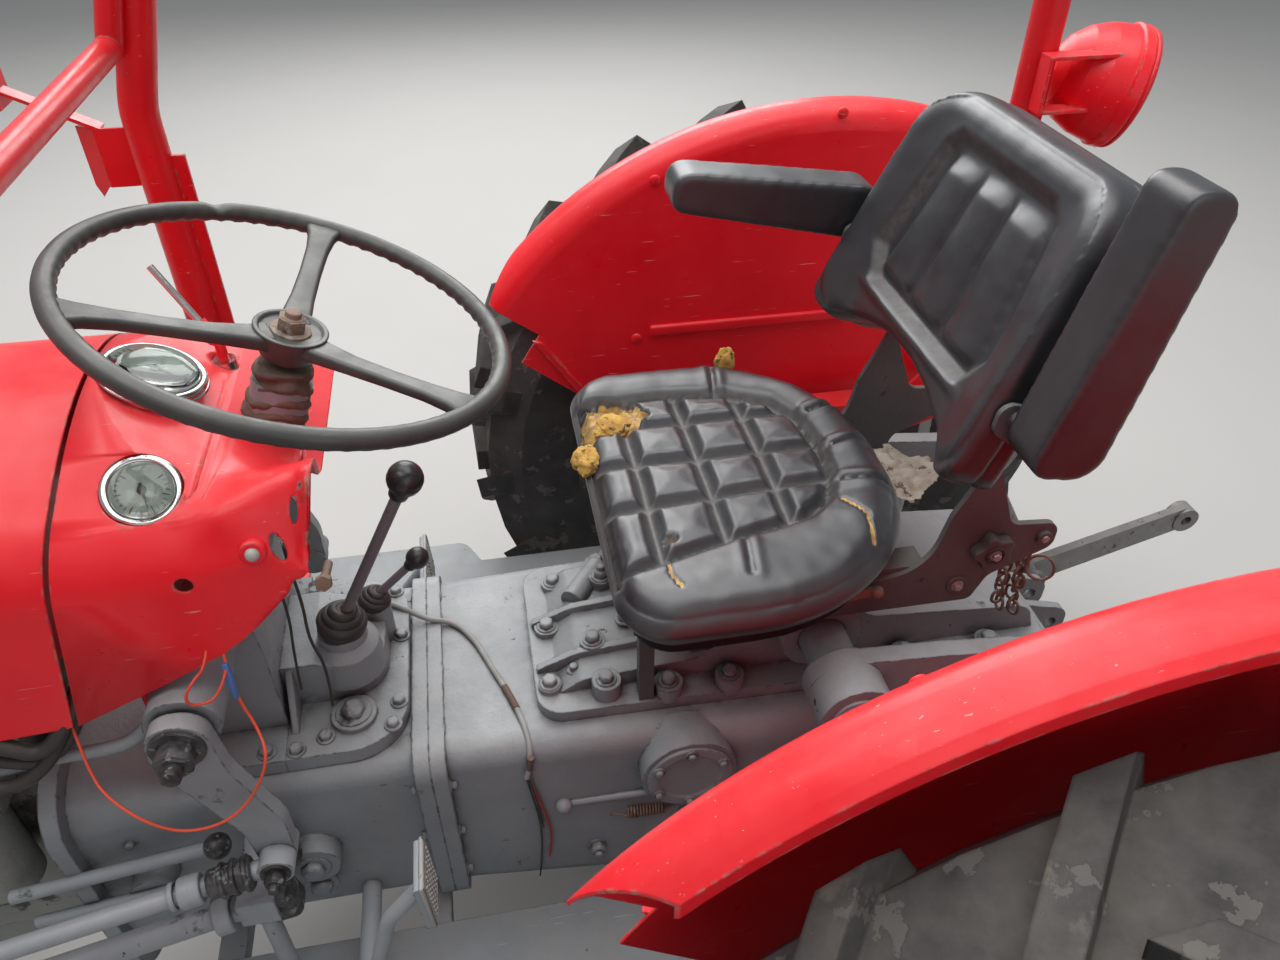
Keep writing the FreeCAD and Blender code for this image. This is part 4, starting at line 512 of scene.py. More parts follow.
nodeFinishes = {
    "sheetRed": ("hood", "grille", "instrument_cowl", "fenders", "fuel_tank", "headlamps", "work_lamp"),
    "frameRed": ("front_posts", "rear_posts", "roof_frame", "front_cross_tube"),
    "castGrey": ("gearbox_cover", "centre_housing", "axle_tubes", "rear_cover", "lift_cover",
                 "clutch_housing", "steering_box", "lift_arms", "drop_arm_left", "drop_arm_right"),
    "engineGrey": ("engine", "front_bolster", "front_axle", "knuckle_left", "knuckle_right"),
    "darkSteel": ("cooling_fan", "drawbar", "lift_rod_left", "lift_rod_right", "lower_link_left",
                  "lower_link_right"),
    "rodGrey": ("radius_rods", "drag_link_left", "drag_link_right", "pedals"),
    "leverGrey": ("gear_levers",),
    "seatIron": ("seat_frame",),
    "exhaustRust": ("exhaust",),
    "rimPaint": ("front_rim_left", "front_rim_right", "rear_rim_left", "rear_rim_right"),
    "tyreRubber": ("front_tyre_left", "front_tyre_right", "rear_tyre_left", "rear_tyre_right"),
    "wheelPlastic": ("steering_wheel",),
    "blackPlastic": ("seat_cushion", "seat_back", "armrest_left", "armrest_right"),
    "radiatorBlack": ("radiator",),
    "brightChrome": ("dash_fittings",),
    "plateGrey": ("footplates",),
}
for finishName, members in nodeFinishes.items():
    for member in members:
        nodes[member].data.materials.clear()
        nodes[member].data.materials.append(finishes[finishName])
print("finishes on the CAD nodes:", len(finishes))


# Shaping soft pieces by moving the points of an even mesh
def evenCopy(name, voxel):
    # a closed mesh of even faces with the shape of a soft CAD solid
    piece = bpy.data.objects.new(name + "Form", nodes[name].data.copy())
    bpy.context.scene.collection.objects.link(piece)
    pick(piece)
    bpy.ops.object.mode_set(mode="EDIT")
    bpy.ops.mesh.select_all(action="SELECT")
    bpy.ops.mesh.remove_doubles(threshold=0.00002)
    bpy.ops.object.mode_set(mode="OBJECT")
    return modify(piece, "REMESH", mode="VOXEL", voxel_size=voxel)


def roundedPath(cornerList, steps=9):
    # flat path through (a, b, radius) corners
    path = []
    count = len(cornerList)
    for index, (a, b, radius) in enumerate(cornerList):
        here = Vector((a, b))
        back = (Vector(cornerList[index - 1][:2]) - here).normalized()
        ahead = (Vector(cornerList[(index + 1) % count][:2]) - here).normalized()
        half = back.angle(ahead) / 2
        middle = here + (back + ahead).normalized() * (radius / math.sin(half))
        first = here + back * (radius / math.tan(half)) - middle
        turn = first.angle_signed(here + ahead * (radius / math.tan(half)) - middle)
        for step in range(steps + 1):
            path.append(middle + Matrix.Rotation(-turn * step / steps, 2) @ first)
    return np.array([tuple(spot) for spot in path])


def nearestOn(points, path, closed=True):
    # distance of flat points from a path, and the offset from its nearest place
    ends = np.roll(path, -1, axis=0) if closed else path[1:]
    starts = path if closed else path[:-1]
    best = np.full(len(points), 1e9)
    offset = np.zeros((len(points), 2))
    for start, end in zip(starts, ends):
        run = end - start
        share = np.clip(((points - start) @ run) / max(run @ run, 1e-12), 0, 1)
        gap = points - (start + share[:, None] * run)
        length = np.hypot(gap[:, 0], gap[:, 1])
        closer = length < best
        best[closer] = length[closer]
        offset[closer] = gap[closer]
    return best, offset


def insideOf(points, path):
    inside = np.zeros(len(points), bool)
    a, b = points.T
    for (a0, b0), (a1, b1) in zip(path, np.roll(path, -1, axis=0)):
        inside ^= ((b0 > b) != (b1 > b)) & (a < (a1 - a0) * (b - b0) / (b1 - b0 + 1e-12) + a0)
    return inside


def ripple(spots, scale, seed):
    # smooth noise between -1 and 1 at each point
    return np.array([noise.noise(Vector(spot) * scale + Vector((seed, seed, seed))) for spot in spots])


def between(value, low, high):
    share = np.clip((value - low) / (high - low), 0, 1)
    return share * share * (3 - 2 * share)


def bell(value, middle, width):
    # a smooth bump that is 1 at the middle
    return np.exp(-((value - middle) / width) ** 2)


def readPoints(piece):
    spots = np.empty(len(piece.data.vertices) * 3)
    piece.data.vertices.foreach_get("co", spots)
    return spots.reshape(-1, 3)


def writePoints(piece, spots, **marks):
    piece.data.vertices.foreach_set("co", np.ascontiguousarray(spots).ravel())
    for name, values in marks.items():
        layer = piece.data.attributes.new(name, "FLOAT", "POINT")
        layer.data.foreach_set("value", np.ascontiguousarray(values, dtype=np.float32))
    piece.data.update()


def edgeField(flat, inner, core):
    # of each point: how far it lies outside the core, which way, and how far it is from the outline
    coreGap, coreOffset = nearestOn(flat, inner)
    outside = ~insideOf(flat, inner)
    coreGap = np.where(outside, coreGap, 0)
    outward = coreOffset / np.maximum(coreGap, 1e-6)[:, None] * outside[:, None]
    return coreGap, outward, core - coreGap


def roundEdge(flat, depth, field, radius, level, sign):
    # rounds the edge between the side wall and the face at the level
    coreGap, outward, edgeGap = field
    across = np.maximum(radius - edgeGap, 0) * (coreGap > 0)
    above = np.maximum(sign * (depth - level) + radius, 0)
    share = np.maximum(across, above) / np.maximum(np.hypot(across, above), 1e-9)
    both = (across > 0) & (above > 0)
    flat = flat - outward * np.where(both, across * (1 - share), 0)[:, None]
    return flat, depth - sign * np.where(both, above * (1 - share), 0)


# Cushion with four by four pressed pads inside a horseshoe roll
cushionShape = {
    "voxel": 0.0032, "outline": ((0.086, -0.246, 0.220), (0.455, -0.246, 0.060), (0.455, 0.246, 0.060),
                                 (0.086, 0.246, 0.220)),
    "core": 0.058, "middle": 0.27, "topRound": 0.030, "lowRound": 0.014, "bulge": 0.005, "tuck": 0.024,
    "tuckHeight": 0.62, "seam": (0.2, 0.05, 0.005), "padRise": 0.0065, "padSink": 0.004,
    "padSlopes": ((0.004, 0.016, 1.0), (0.012, 0.036, 0.35)), "piping": (0.0125, 0.003, 0.0014),
    "foamSink": 0.012, "burnSink": 0.008, "slitSink": 0.003, "slitHalf": (0.0008, 0.0028),
    "panel": ((0.452, -0.166), (0.33, -0.169), (0.245, -0.156), (0.195, -0.130), (0.166, -0.080),
              (0.159, -0.020), (0.163, 0.035), (0.180, 0.080), (0.215, 0.110), (0.32, 0.134), (0.452, 0.172)),
    "columns": (0.396, 0.317, 0.237), "rows": ((-0.104, 0.0), (-0.026, 0.0), (0.052, 0.06)),
    "groove": 0.0062, "depth": 0.011, "roll": 0.009, "creases": (
        ((0.150, -0.090), (0.104, -0.101), 0.004), ((0.146, -0.013), (0.092, -0.019), 0.0045),
        ((0.158, 0.056), (0.104, 0.066), 0.0045), ((0.262, -0.165), (0.255, -0.215), 0.003),
        ((0.30, 0.14), (0.31, 0.20), 0.002)),
    "tear": ((0.455, -0.088), (0.449, -0.146), (0.418, -0.170), (0.377, -0.166), (0.360, -0.126),
             (0.382, -0.104), (0.418, -0.084)),
    "burn": (0.383, 0.124, 0.008), "slits": (((0.393, 0.160), (0.396, 0.184), (0.388, 0.206)),
                                             ((0.170, 0.094), (0.152, 0.128), (0.158, 0.170)))}


def mouldCushion(shape):
    piece = evenCopy("seat_cushion", shape["voxel"])
    low, high = (corner.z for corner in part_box("seat_cushion"))
    spots = readPoints(piece)
    x, y, z = spots[:, 0] - rearAxleX, spots[:, 1], spots[:, 2]
    flat = np.stack((x, y), axis=1)
    inner = roundedPath([(a + math.copysign(shape["core"], shape["middle"] - a),
                          b - math.copysign(shape["core"], b), max(radius - shape["core"], 0.004)) for a, b,
                         radius in shape["outline"]])
    field = edgeField(flat, inner, shape["core"])
    coreGap, outward, edgeGap = field
    flat, z = roundEdge(flat, z, field, shape["topRound"], high, 1)
    flat, z = roundEdge(flat, z, field, shape["lowRound"], low, -1)
    # sides that swell between a seam near the bottom and the roll on top
    height = (z - low) / (high - low)
    wall = between(coreGap, shape["core"] * 0.7, shape["core"])
    swell = shape["bulge"] * np.sin(np.clip(height, 0, 1) * math.pi)
    seamHeight, seamWidth, seamDepth = shape["seam"]
    push = swell - seamDepth * bell(height, seamHeight, seamWidth)
    push -= shape["tuck"] * np.clip(1 - height / shape["tuckHeight"], 0, 1)
    flat = flat + outward * (push * wall)[:, None]
    upper = between(z, low + 0.45 * (high - low), high - 0.004)
    panel = np.array(shape["panel"])
    panelGap, _ = nearestOn(flat, panel)
    onPanel = insideOf(flat, panel)
    rise = np.zeros(len(z))
    share = panelGap / np.maximum(panelGap + np.maximum(edgeGap, 0.0), 1e-6)
    rise += np.where(onPanel, 0, shape["roll"] * np.sin(np.clip(share, 0, 1) * math.pi) ** 0.8)
    lines = bell(panelGap, 0, shape["groove"] * 1.15)
    grid = np.full(len(z), 1.0)
    for column in shape["columns"]:
        grid = np.minimum(grid, np.abs(flat[:, 0] - column - 0.05 * np.abs(flat[:, 1]) ** 1.5))
    for row, slope in shape["rows"]:
        grid = np.minimum(grid, np.abs(flat[:, 1] - row - slope * (flat[:, 0] - 0.3)))
    cell = np.minimum(grid, panelGap)
    lines = np.maximum(lines, np.where(onPanel, bell(grid, 0, shape["groove"]), 0))
    # each pad rises in two slopes, with a faint line of piping round it
    pillow = sum(share * between(cell, near, far) for near, far, share in shape["padSlopes"])
    rise += np.where(onPanel, shape["padRise"] * pillow - shape["padSink"], 0) - shape["depth"] * 0.75 * lines
    pipingGap, pipingHalf, pipingRise = shape["piping"]
    rise += pipingRise * bell(cell, pipingGap, pipingHalf) * onPanel * (0.5 + ripple(spots, 60, 3))
    for start, end, depth in shape["creases"]:
        gap, _ = nearestOn(flat, np.array((start, end)), closed=False)
        rise += depth * (0.8 * bell(gap, 0.010, 0.006) - 1.3 * bell(gap, 0, 0.0035))
    rise += 0.0022 * ripple(spots, 14, 1) + 0.0007 * ripple(spots, 45, 5)
    # what is torn: foam in the open patch, a burnt hole and two slits
    torn, _ = nearestOn(flat, np.array(shape["tear"]))
    ragged = np.where(insideOf(flat, np.array(shape["tear"])), torn, -torn) + 0.006 * ripple(spots, 90, 9)
    foam = between(ragged, -0.001, 0.002)
    rise += foam * (-shape["foamSink"] + 0.006 * ripple(spots, 70, 11))
    burnX, burnY, burnRadius = shape["burn"]
    burn = between(burnRadius - np.hypot(flat[:, 0] - burnX, flat[:, 1] - burnY), -0.001, 0.002)
    rise -= shape["burnSink"] * burn
    slit = np.zeros(len(z))
    for line in shape["slits"]:
        gap, _ = nearestOn(flat, np.array(line), closed=False)
        slit = np.maximum(slit, 1 - between(gap + 0.0012 * ripple(spots, 160, 13), *shape["slitHalf"]))
    rise -= shape["slitSink"] * slit
    z = z + rise * upper
    moved = np.stack((flat[:, 0] + rearAxleX, flat[:, 1], z), axis=1)
    writePoints(piece, moved, foam=np.clip(foam + slit, 0, 1) * upper, burn=burn * upper,
                hollow=np.clip(lines, 0, 1) * upper)
    finishPiece(piece, "cushion", "seatVinyl", 80)
    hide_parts("seat_cushion")
    return piece


mouldCushion(cushionShape)

# Backrest: a fluted panel in a recess, lobes below it at both sides
backShape = {"voxel": 0.0034, "lean": 22.0, "base": (0.110, 1.130), "half": (0.219, 0.192), "height": 0.325,
             "core": 0.055, "round": 0.030, "backRound": 0.016, "arch": 0.050,
             "panel": ((-0.120, 0.086), (-0.146, 0.125), (-0.118, 0.262), (-0.100, 0.278), (0.100, 0.278),
                       (0.118, 0.262), (0.146, 0.125), (0.120, 0.086)),
             "flutes": (-0.087, 0.0, 0.087), "fluteHalf": 0.0400, "fluteRise": 0.012, "recess": 0.013,
             "seamBehind": 0.052, "seamDepth": 0.005, "lipHeight": 0.076, "lipHalf": 0.008, "lipRise": 0.005}


def mouldBack(shape):
    piece = evenCopy("seat_back", shape["voxel"])
    lean = math.radians(shape["lean"])
    ahead = np.array((math.cos(lean), math.sin(lean)))
    along = np.array((-math.sin(lean), math.cos(lean)))
    spots = readPoints(piece)
    flat = np.stack((spots[:, 0] - rearAxleX, spots[:, 2]), axis=1) - np.array(shape["base"])
    a, h, y = flat @ ahead, flat @ along, spots[:, 1]
    wide, narrow = shape["half"]
    tall, core = shape["height"], shape["core"]
    inner = roundedPath([(-wide + core, core, 0.004), (wide - core, core, 0.004),
                         (narrow - core + 0.004, tall - core, 0.022),
                         (-narrow + core - 0.004, tall - core, 0.022)])
    plan = np.stack((y, h), axis=1)
    field = edgeField(plan, inner, core)
    coreGap, outward, _ = field
    front = np.interp(np.abs(y), (0.13, 0.219), (0.0, 0.028))
    back = np.interp(np.abs(y), (0.160, 0.219), (-0.085, -0.050))
    plan, a = roundEdge(plan, a, field, shape["round"], front, 1)
    plan, a = roundEdge(plan, a, field, shape["backRound"], back, -1)
    y, h = plan.T
    # seam between the front moulding and the shell behind it
    wall = between(coreGap, core * 0.75, core)
    seam = bell(a - front, -shape["seamBehind"], 0.0028)
    plan = plan - outward * (shape["seamDepth"] * seam * wall)[:, None]
    y, h = plan.T
    arch = shape["arch"] * np.clip(1 - (y / 0.172) ** 2, 0, 1)
    h = h + arch * np.clip(1 - h / 0.125, 0, 1)
    panel = np.array(shape["panel"])
    plan = np.stack((y, h), axis=1)
    gap, _ = nearestOn(plan, panel)
    onPanel = insideOf(plan, panel)
    face = between(a, front - 0.028, front - 0.008)
    signed = np.where(onPanel, gap, -gap)
    rise = -shape["recess"] * between(signed, -0.010, 0.009)
    flutes = np.zeros(len(y))
    taper = 1 - 0.22 * (h - 0.086) / 0.19
    for middle in shape["flutes"]:
        across = (y - middle * taper) / (shape["fluteHalf"] * taper)
        ends = between(h, 0.094, 0.112) * between(0.268 - np.abs(y) * 0.02 - h, 0.0, 0.030)
        flutes = np.maximum(flutes, np.sqrt(np.clip(1 - across ** 2, 0, 1)) * ends)
    rise += shape["fluteRise"] * flutes * onPanel
    lip = bell(h, shape["lipHeight"], shape["lipHalf"]) * np.clip(1 - (y / 0.15) ** 8, 0, 1)
    rise += shape["lipRise"] * lip
    rise += 0.0012 * ripple(spots, 12, 2) + 0.0004 * ripple(spots, 50, 4)
    a = a + rise * face
    flat = a[:, None] * ahead + h[:, None] * along + np.array(shape["base"])
    moved = np.stack((flat[:, 0] + rearAxleX, y, flat[:, 1]), axis=1)
    hollow = bell(gap, 0, 0.006) * face
    writePoints(piece, moved, hollow=hollow, foam=np.zeros(len(y)), burn=np.zeros(len(y)))
    modify(piece, "SMOOTH", factor=0.5, iterations=2)
    finishPiece(piece, "backrest", "seatVinyl", 80)
    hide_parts("seat_back")
    return piece


mouldBack(backShape)

# Armrest pads: firm, with rounded edges and a softer upper face
for side in ("left", "right"):
    pad = evenCopy("armrest_" + side, 0.0032)
    modify(pad, "SMOOTH", factor=0.6, iterations=16)
    points = readPoints(pad)
    points = points + 0.0008 * ripple(points, 25, 6)[:, None] * np.array((1, 0.4, 1))
    writePoints(pad, points, hollow=np.zeros(len(points)), foam=np.zeros(len(points)),
                burn=np.zeros(len(points)))
    finishPiece(pad, "armrestPad" + side.capitalize(), "seatVinyl", 80, body="armrest_" + side)
    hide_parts("armrest_" + side)

# Foam that has worked out of the vinyl
foamLumps = (((0.452, -0.056, 1.018), (0.020, 0.026, 0.014), 21),
             ((0.229, -0.232, 1.034), (0.015, 0.011, 0.022), 22),
             ((0.412, -0.126, 1.019), (0.024, 0.022, 0.010), 23))
lumps = []
for place, size, seed in foamLumps:
    lump = ball((0, 0, 0), 1.0, 28, 18)
    points = readPoints(lump)
    points = points * (1 + 0.30 * ripple(points, 1.6, seed) + 0.22 * ripple(points, 4.2, seed + 3))[:, None]
    writePoints(lump, points * np.array(size) + np.array(at(*place)))
    lumps.append(lump)
finishPiece(lumps, "foamLumps", "oldFoam", 60)
print("seat moulded")


# Small helpers for trim
def placed(piece, matrix):
    piece.matrix_world = matrix
    return fixPlace(piece)


def frameAt(origin, up, ahead=(1, 0, 0)):
    # matrix whose Z is up and whose X lies nearest to ahead
    up = Vector(up).normalized()
    ahead = Vector(ahead) - up * up.dot(Vector(ahead))
    ahead.normalize()
    matrix = Matrix((ahead, up.cross(ahead), up)).transposed().to_4x4()
    matrix.translation = Vector(origin)
    return matrix


def barAlong(route, widths, heights, side=(0, 1, 0)):
    # a plane pushed from station to station, with its own width and height at each
    settle()
    bpy.ops.mesh.primitive_plane_add(size=1)
    piece = bpy.context.object
    bpy.ops.object.mode_set(mode="EDIT")
    bpy.ops.mesh.select_all(action="SELECT")
    route = [Vector(spot) for spot in route]
    corners = ((-0.5, -0.5), (0.5, -0.5), (0.5, 0.5), (-0.5, 0.5))
    for index, spot in enumerate(route):
        if index:
            bpy.ops.mesh.extrude_region_move(TRANSFORM_OT_translate={"value": (0, 0, 0.001)})
        ahead = (route[min(index + 1, len(route) - 1)] - route[max(index - 1, 0)]).normalized()
        across = (Vector(side) - ahead * ahead.dot(Vector(side))).normalized()
        over = ahead.cross(across)
        mesh = bmesh.from_edit_mesh(piece.data)
        picked = [corner for face in mesh.faces if face.select for corner in face.verts]
        for corner, (a, b) in zip(picked, corners):
            corner.co = spot + across * a * widths[index] + over * b * heights[index]
        bmesh.update_edit_mesh(piece.data)
    bpy.ops.mesh.select_all(action="SELECT")
    bpy.ops.mesh.normals_make_consistent(inside=False)
    bpy.ops.object.mode_set(mode="OBJECT")
    return piece


def hexBolt(radius, height, washer=0.0, stud=0.0):
    # head standing on the origin, with a washer below and a stud end above if wanted
    parts = []
    low = 0.0
    if washer:
        parts.append(softEdges(barrel((0, 0, -0.0015), (0, 0, 0.0022), washer, 24), 0.0006, 1))
        low = 0.0022
    head = barrel((0, 0, low - 0.002), (0, 0, low + height), radius, 6)
    editWhere(head, facing((0, 0, 1)))
    insetPick(radius * 0.14)
    pushPick((0, 0, radius * 0.10))
    settle()
    parts.append(softEdges(head, radius * 0.06, 1))
    if stud:
        end = barrel((0, 0, low + height), (0, 0, low + height + stud), radius * 0.52, 14)
        parts.append(softEdges(end, radius * 0.1, 2))
    return joinAll(parts)


def boltRow(name, model, places, finish, body="chassis"):
    # copies of a model at (place, direction) pairs, each turned its own way
    copies = [copyTo(model, place, direction, random.uniform(0, 6)) for place, direction in places]
    return finishPiece(copies, name, finish, body=body)


def standing(places):
    return [(at(*place), up) for place in places]


def boltCircle(centre, radius, count, face, start=0.0):
    # places and directions of bolts on an upright circle that faces sideways
    x, y, z = centre
    turns = [math.radians(start + 360 * step / count) for step in range(count)]
    return [(at(x + radius * math.cos(turn), y, z + radius * math.sin(turn)), face) for turn in turns]


up, down, left, rightward, ahead, rear = (0, 0, 1), (0, 0, -1), (0, 1, 0), (0, -1, 0), (1, 0, 0), (-1, 0, 0)
bothSides = ((1, "Left", left), (-1, "Right", rightward))


# Steering wheel: grooved rim, flat dished spokes with a dark recess, hub plate, washer and nut
wheelShape = {"centre": (0.750, 0, 1.290), "tilt": 20, "radius": 0.215, "rim": 0.0102, "lobes": 74,
              "dish": 0.030, "spokeTurn": 26, "hub": 0.038, "notch": -62, "nut": 0.0150}
tilt = math.radians(wheelShape["tilt"])
wheelFrame = frameAt(at(*wheelShape["centre"]), (-math.sin(tilt), 0, math.cos(tilt)))


def shapeRim(shape):
    rim = hoop((0, 0, 0), (0, 0, 1), shape["radius"], shape["rim"], 296, 18)
    points = readPoints(rim)
    turnAngle = np.arctan2(points[:, 1], points[:, 0])
    reach = np.hypot(points[:, 0], points[:, 1])
    inner = np.clip((shape["radius"] - reach) / shape["rim"], 0, 1)
    under = np.clip(-points[:, 2] / shape["rim"], 0, 1)
    wave = np.maximum(np.cos(turnAngle * shape["lobes"]), -0.4)
    push = 0.0011 * wave * np.clip(inner * 0.8 + under * 0.7, 0, 1)
    upper = np.clip(points[:, 2] / shape["rim"], 0, 1)
    notch = bell(np.degrees(turnAngle), shape["notch"], 2.6) * upper
    reach = reach - push * inner
    points[:, 0] = np.cos(turnAngle) * reach
    points[:, 1] = np.sin(turnAngle) * reach
    points[:, 2] -= push * under + 0.0045 * notch
    writePoints(rim, points)
    return rim


def shapeSpoke(shape, turn):
    low, outer = -shape["dish"], shape["radius"] - 0.002
    stations = ((0.018, low, 0.040, 0.017), (0.040, low + 0.001, 0.031, 0.0155),
                (0.075, low + 0.006, 0.0255, 0.0135), (0.120, low + 0.014, 0.0235, 0.0125),
                (0.165, low + 0.0225, 0.0250, 0.0125), (0.192, -0.0030, 0.031, 0.0130),
                (outer, 0.0, 0.044, 0.0130))
    spoke = barAlong([(reach, 0, height) for reach, height, _, _ in stations],
                     [width for *_, width, _ in stations], [thick for *_, thick in stations])
    softEdges(spoke, 0.0048, 4, 30)
    # long hollow in the side that faces rearward or down, as wide as the hand
    cutter = barAlong([(0.050, 0, low - 0.010), (0.110, 0, low + 0.0005), (0.170, 0, low + 0.0115)],
                      (0.013, 0.014, 0.010), (0.012, 0.012, 0.010))
    softEdges(cutter, 0.004, 3, 30)
    modify(spoke, "BOOLEAN", object=cutter, operation="DIFFERENCE", solver="EXACT")
    drop(cutter)
    return placed(spoke, Matrix.Rotation(math.radians(turn), 4, "Z"))


hubRadius = wheelShape["hub"]
hubLow = -wheelShape["dish"] - 0.022
hub = barrel((0, 0, hubLow), (0, 0, -wheelShape["dish"] + 0.011), hubRadius, 64)
stepFace(hub, up, (0.006, 0.0), (0.0015, -0.0035))
editWhere(hub, facing(down))
bpy.ops.transform.resize(value=(0.7, 0.7, 1), center_override=(0, 0, hubLow))
settle()
softEdges(hub, 0.0022, 3, 30)
wheelPieces = [shapeRim(wheelShape), hub]
for step in range(3):
    wheelPieces.append(shapeSpoke(wheelShape, 120 * step + wheelShape["spokeTurn"]))
wheelPiece = placed(joinAll(wheelPieces), wheelFrame)
finishPiece(wheelPiece, "steeringWheel", "wheelPlastic", 45, body="steering_wheel")
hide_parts("steering_wheel")

nutLow = -wheelShape["dish"] + 0.0075
washer = softEdges(barrel((0, 0, nutLow - 0.001), (0, 0, nutLow + 0.0022), 0.0205, 40), 0.0007, 2)
nut = barrel((0, 0, nutLow + 0.002), (0, 0, nutLow + 0.0155), wheelShape["nut"], 6)
editWhere(nut, facing(up))
insetPick(0.0022)
pushPick((0, 0, 0.0012))
settle()
softEdges(nut, 0.0010, 2)
stub = softEdges(barrel((0, 0, nutLow), (0, 0, nutLow + 0.0225), 0.0082, 28), 0.0016, 2)
shaft = barrel((0, 0, -0.125), (0, 0, hubLow + 0.004), 0.0095, 28)
topNut = placed(joinAll([washer, nut, stub, shaft]), wheelFrame)
finishPiece(topNut, "steeringNut", "rustySteel", body="steering_wheel")

# crumpled brown sleeve from below the hub down to the cowl
sleeve = barrel((0, 0, -0.140), (0, 0, -0.060), 0.0325, 72, 0.0285)
modify(sleeve, "REMESH", mode="VOXEL", voxel_size=0.0024)
points = readPoints(sleeve)
around = np.arctan2(points[:, 1], points[:, 0])
reach = np.hypot(points[:, 0], points[:, 1])
folds = np.sin((points[:, 2] + 0.007 * np.sin(around * 2 + 1)) * 2 * math.pi / 0.0175)
bulk = 0.0022 * folds + 0.0042 * ripple(points, 36, 7) + 0.0018 * ripple(points, 100, 8)
share = np.clip(reach / 0.026, 0, 1) ** 3 * bulk
points[:, 0] += np.cos(around) * share
points[:, 1] += np.sin(around) * share
writePoints(sleeve, points)
placed(sleeve, wheelFrame)
finishPiece(sleeve, "columnSleeve", "brownRubber", 70)
print("steering wheel shaped")


# Bolts on the castings, with washers, at their pads
bigBolt = hexBolt(0.0098, 0.0075, 0.0135)
midBolt = hexBolt(0.0080, 0.0062, 0.0115)
studNut = hexBolt(0.0105, 0.0100, 0.0145, 0.008)
smallBolt = hexBolt(0.0055, 0.0042, 0.0080)
coverPads = ((0.507, -0.094, 0.778), (0.525, -0.009, 0.778), (0.469, 0.050, 0.804), (0.460, 0.112, 0.794),
             (0.381, 0.122, 0.786), (0.300, 0.124, 0.786), (0.060, 0.126, 0.782), (-0.060, 0.126, 0.782),
             (0.531, 0.092, 0.778), (0.381, -0.122, 0.786), (0.300, -0.124, 0.786), (0.060, -0.126, 0.782),
             (-0.060, -0.126, 0.782), (0.440, -0.116, 0.786))
boltRow("liftCoverBolts", bigBolt, standing(coverPads), "castGrey")
plateBolts = ((0.721, -0.031, 0.774), (0.723, 0.083, 0.774), (0.811, 0.123, 0.774), (0.845, 0.137, 0.774),
              (0.730, 0.118, 0.774), (0.730, -0.118, 0.774), (0.811, -0.123, 0.774), (0.845, -0.137, 0.774),
              (0.880, 0.134, 0.774), (0.950, 0.134, 0.774), (0.880, -0.134, 0.774), (0.950, -0.134, 0.774))
boltRow("gearCoverBolts", midBolt, standing(plateBolts), "castGrey")
studPlaces = ((0.440, -0.063, 0.808), (0.498, 0.078, 0.771), (0.420, 0.018, 0.802))
boltRow("coverStuds", studNut, standing(studPlaces), "castGrey")

# joint of the two housings: bolt heads in front and nuts behind, round the flange
flangeSpots = ((0.165, 0.700), (0.165, 0.600), (0.165, 0.505), (0.120, 0.745), (0.020, 0.745),
               (-0.080, 0.745))
headX, nutX, topZ, topHalf = 0.7095, 0.6705, 0.74, 0.11
heads, nuts = [], []
for side in (1, -1):
    for y, z in flangeSpots:
        # the middle ones along the top are there once
        if z > topZ and side < 0 and abs(y) < topHalf:
            continue
        heads.append((at(headX, side * y, z), ahead))
        nuts.append((at(nutX, side * y, z), rear))
boltRow("jointBolts", midBolt, heads, "castGrey")
boltRow("jointNuts", midBolt, nuts, "castGrey")

# filler plug on its disc
plug = hexBolt(0.0150, 0.0085, 0.0225)
boltRow("fillerPlug", plug, standing([(0.778, 0.096, 0.781)]), "castGrey")

# side covers: rim of bolts round a raised plate, gap between plate and case darkened with grease and painted
# shade
coverX, coverZ = 0.368, 0.695
for side, label, face in bothSides:
    cover = barrel(at(coverX, side * 0.198, coverZ), at(coverX, side * 0.2085, coverZ), 0.056, 72)
    stepFace(cover, face, (0.014, 0.0), (0.003, -0.0025))
    softEdges(cover, 0.0012, 2)
    finishPiece(cover, "sideCover" + label, "castGrey")
    ring = boltCircle((coverX, side * 0.2085, coverZ), 0.0475, 6, face, 30)
    boltRow("sideCoverBolts" + label, smallBolt, ring, "castGrey")
    caps = [(at(0.855, side * 0.191, 0.606), face), (at(0.855, side * 0.183, 0.554), face)]
    boltRow("housingPlugs" + label, plug, caps, "castGrey")
    capDisc = softEdges(barrel(at(0.190, side * 0.270, 0.855), at(0.190, side * 0.2765, 0.855), 0.033, 48),
                        0.002, 2)
    finishPiece(capDisc, "liftShaftCap" + label, "castGrey")

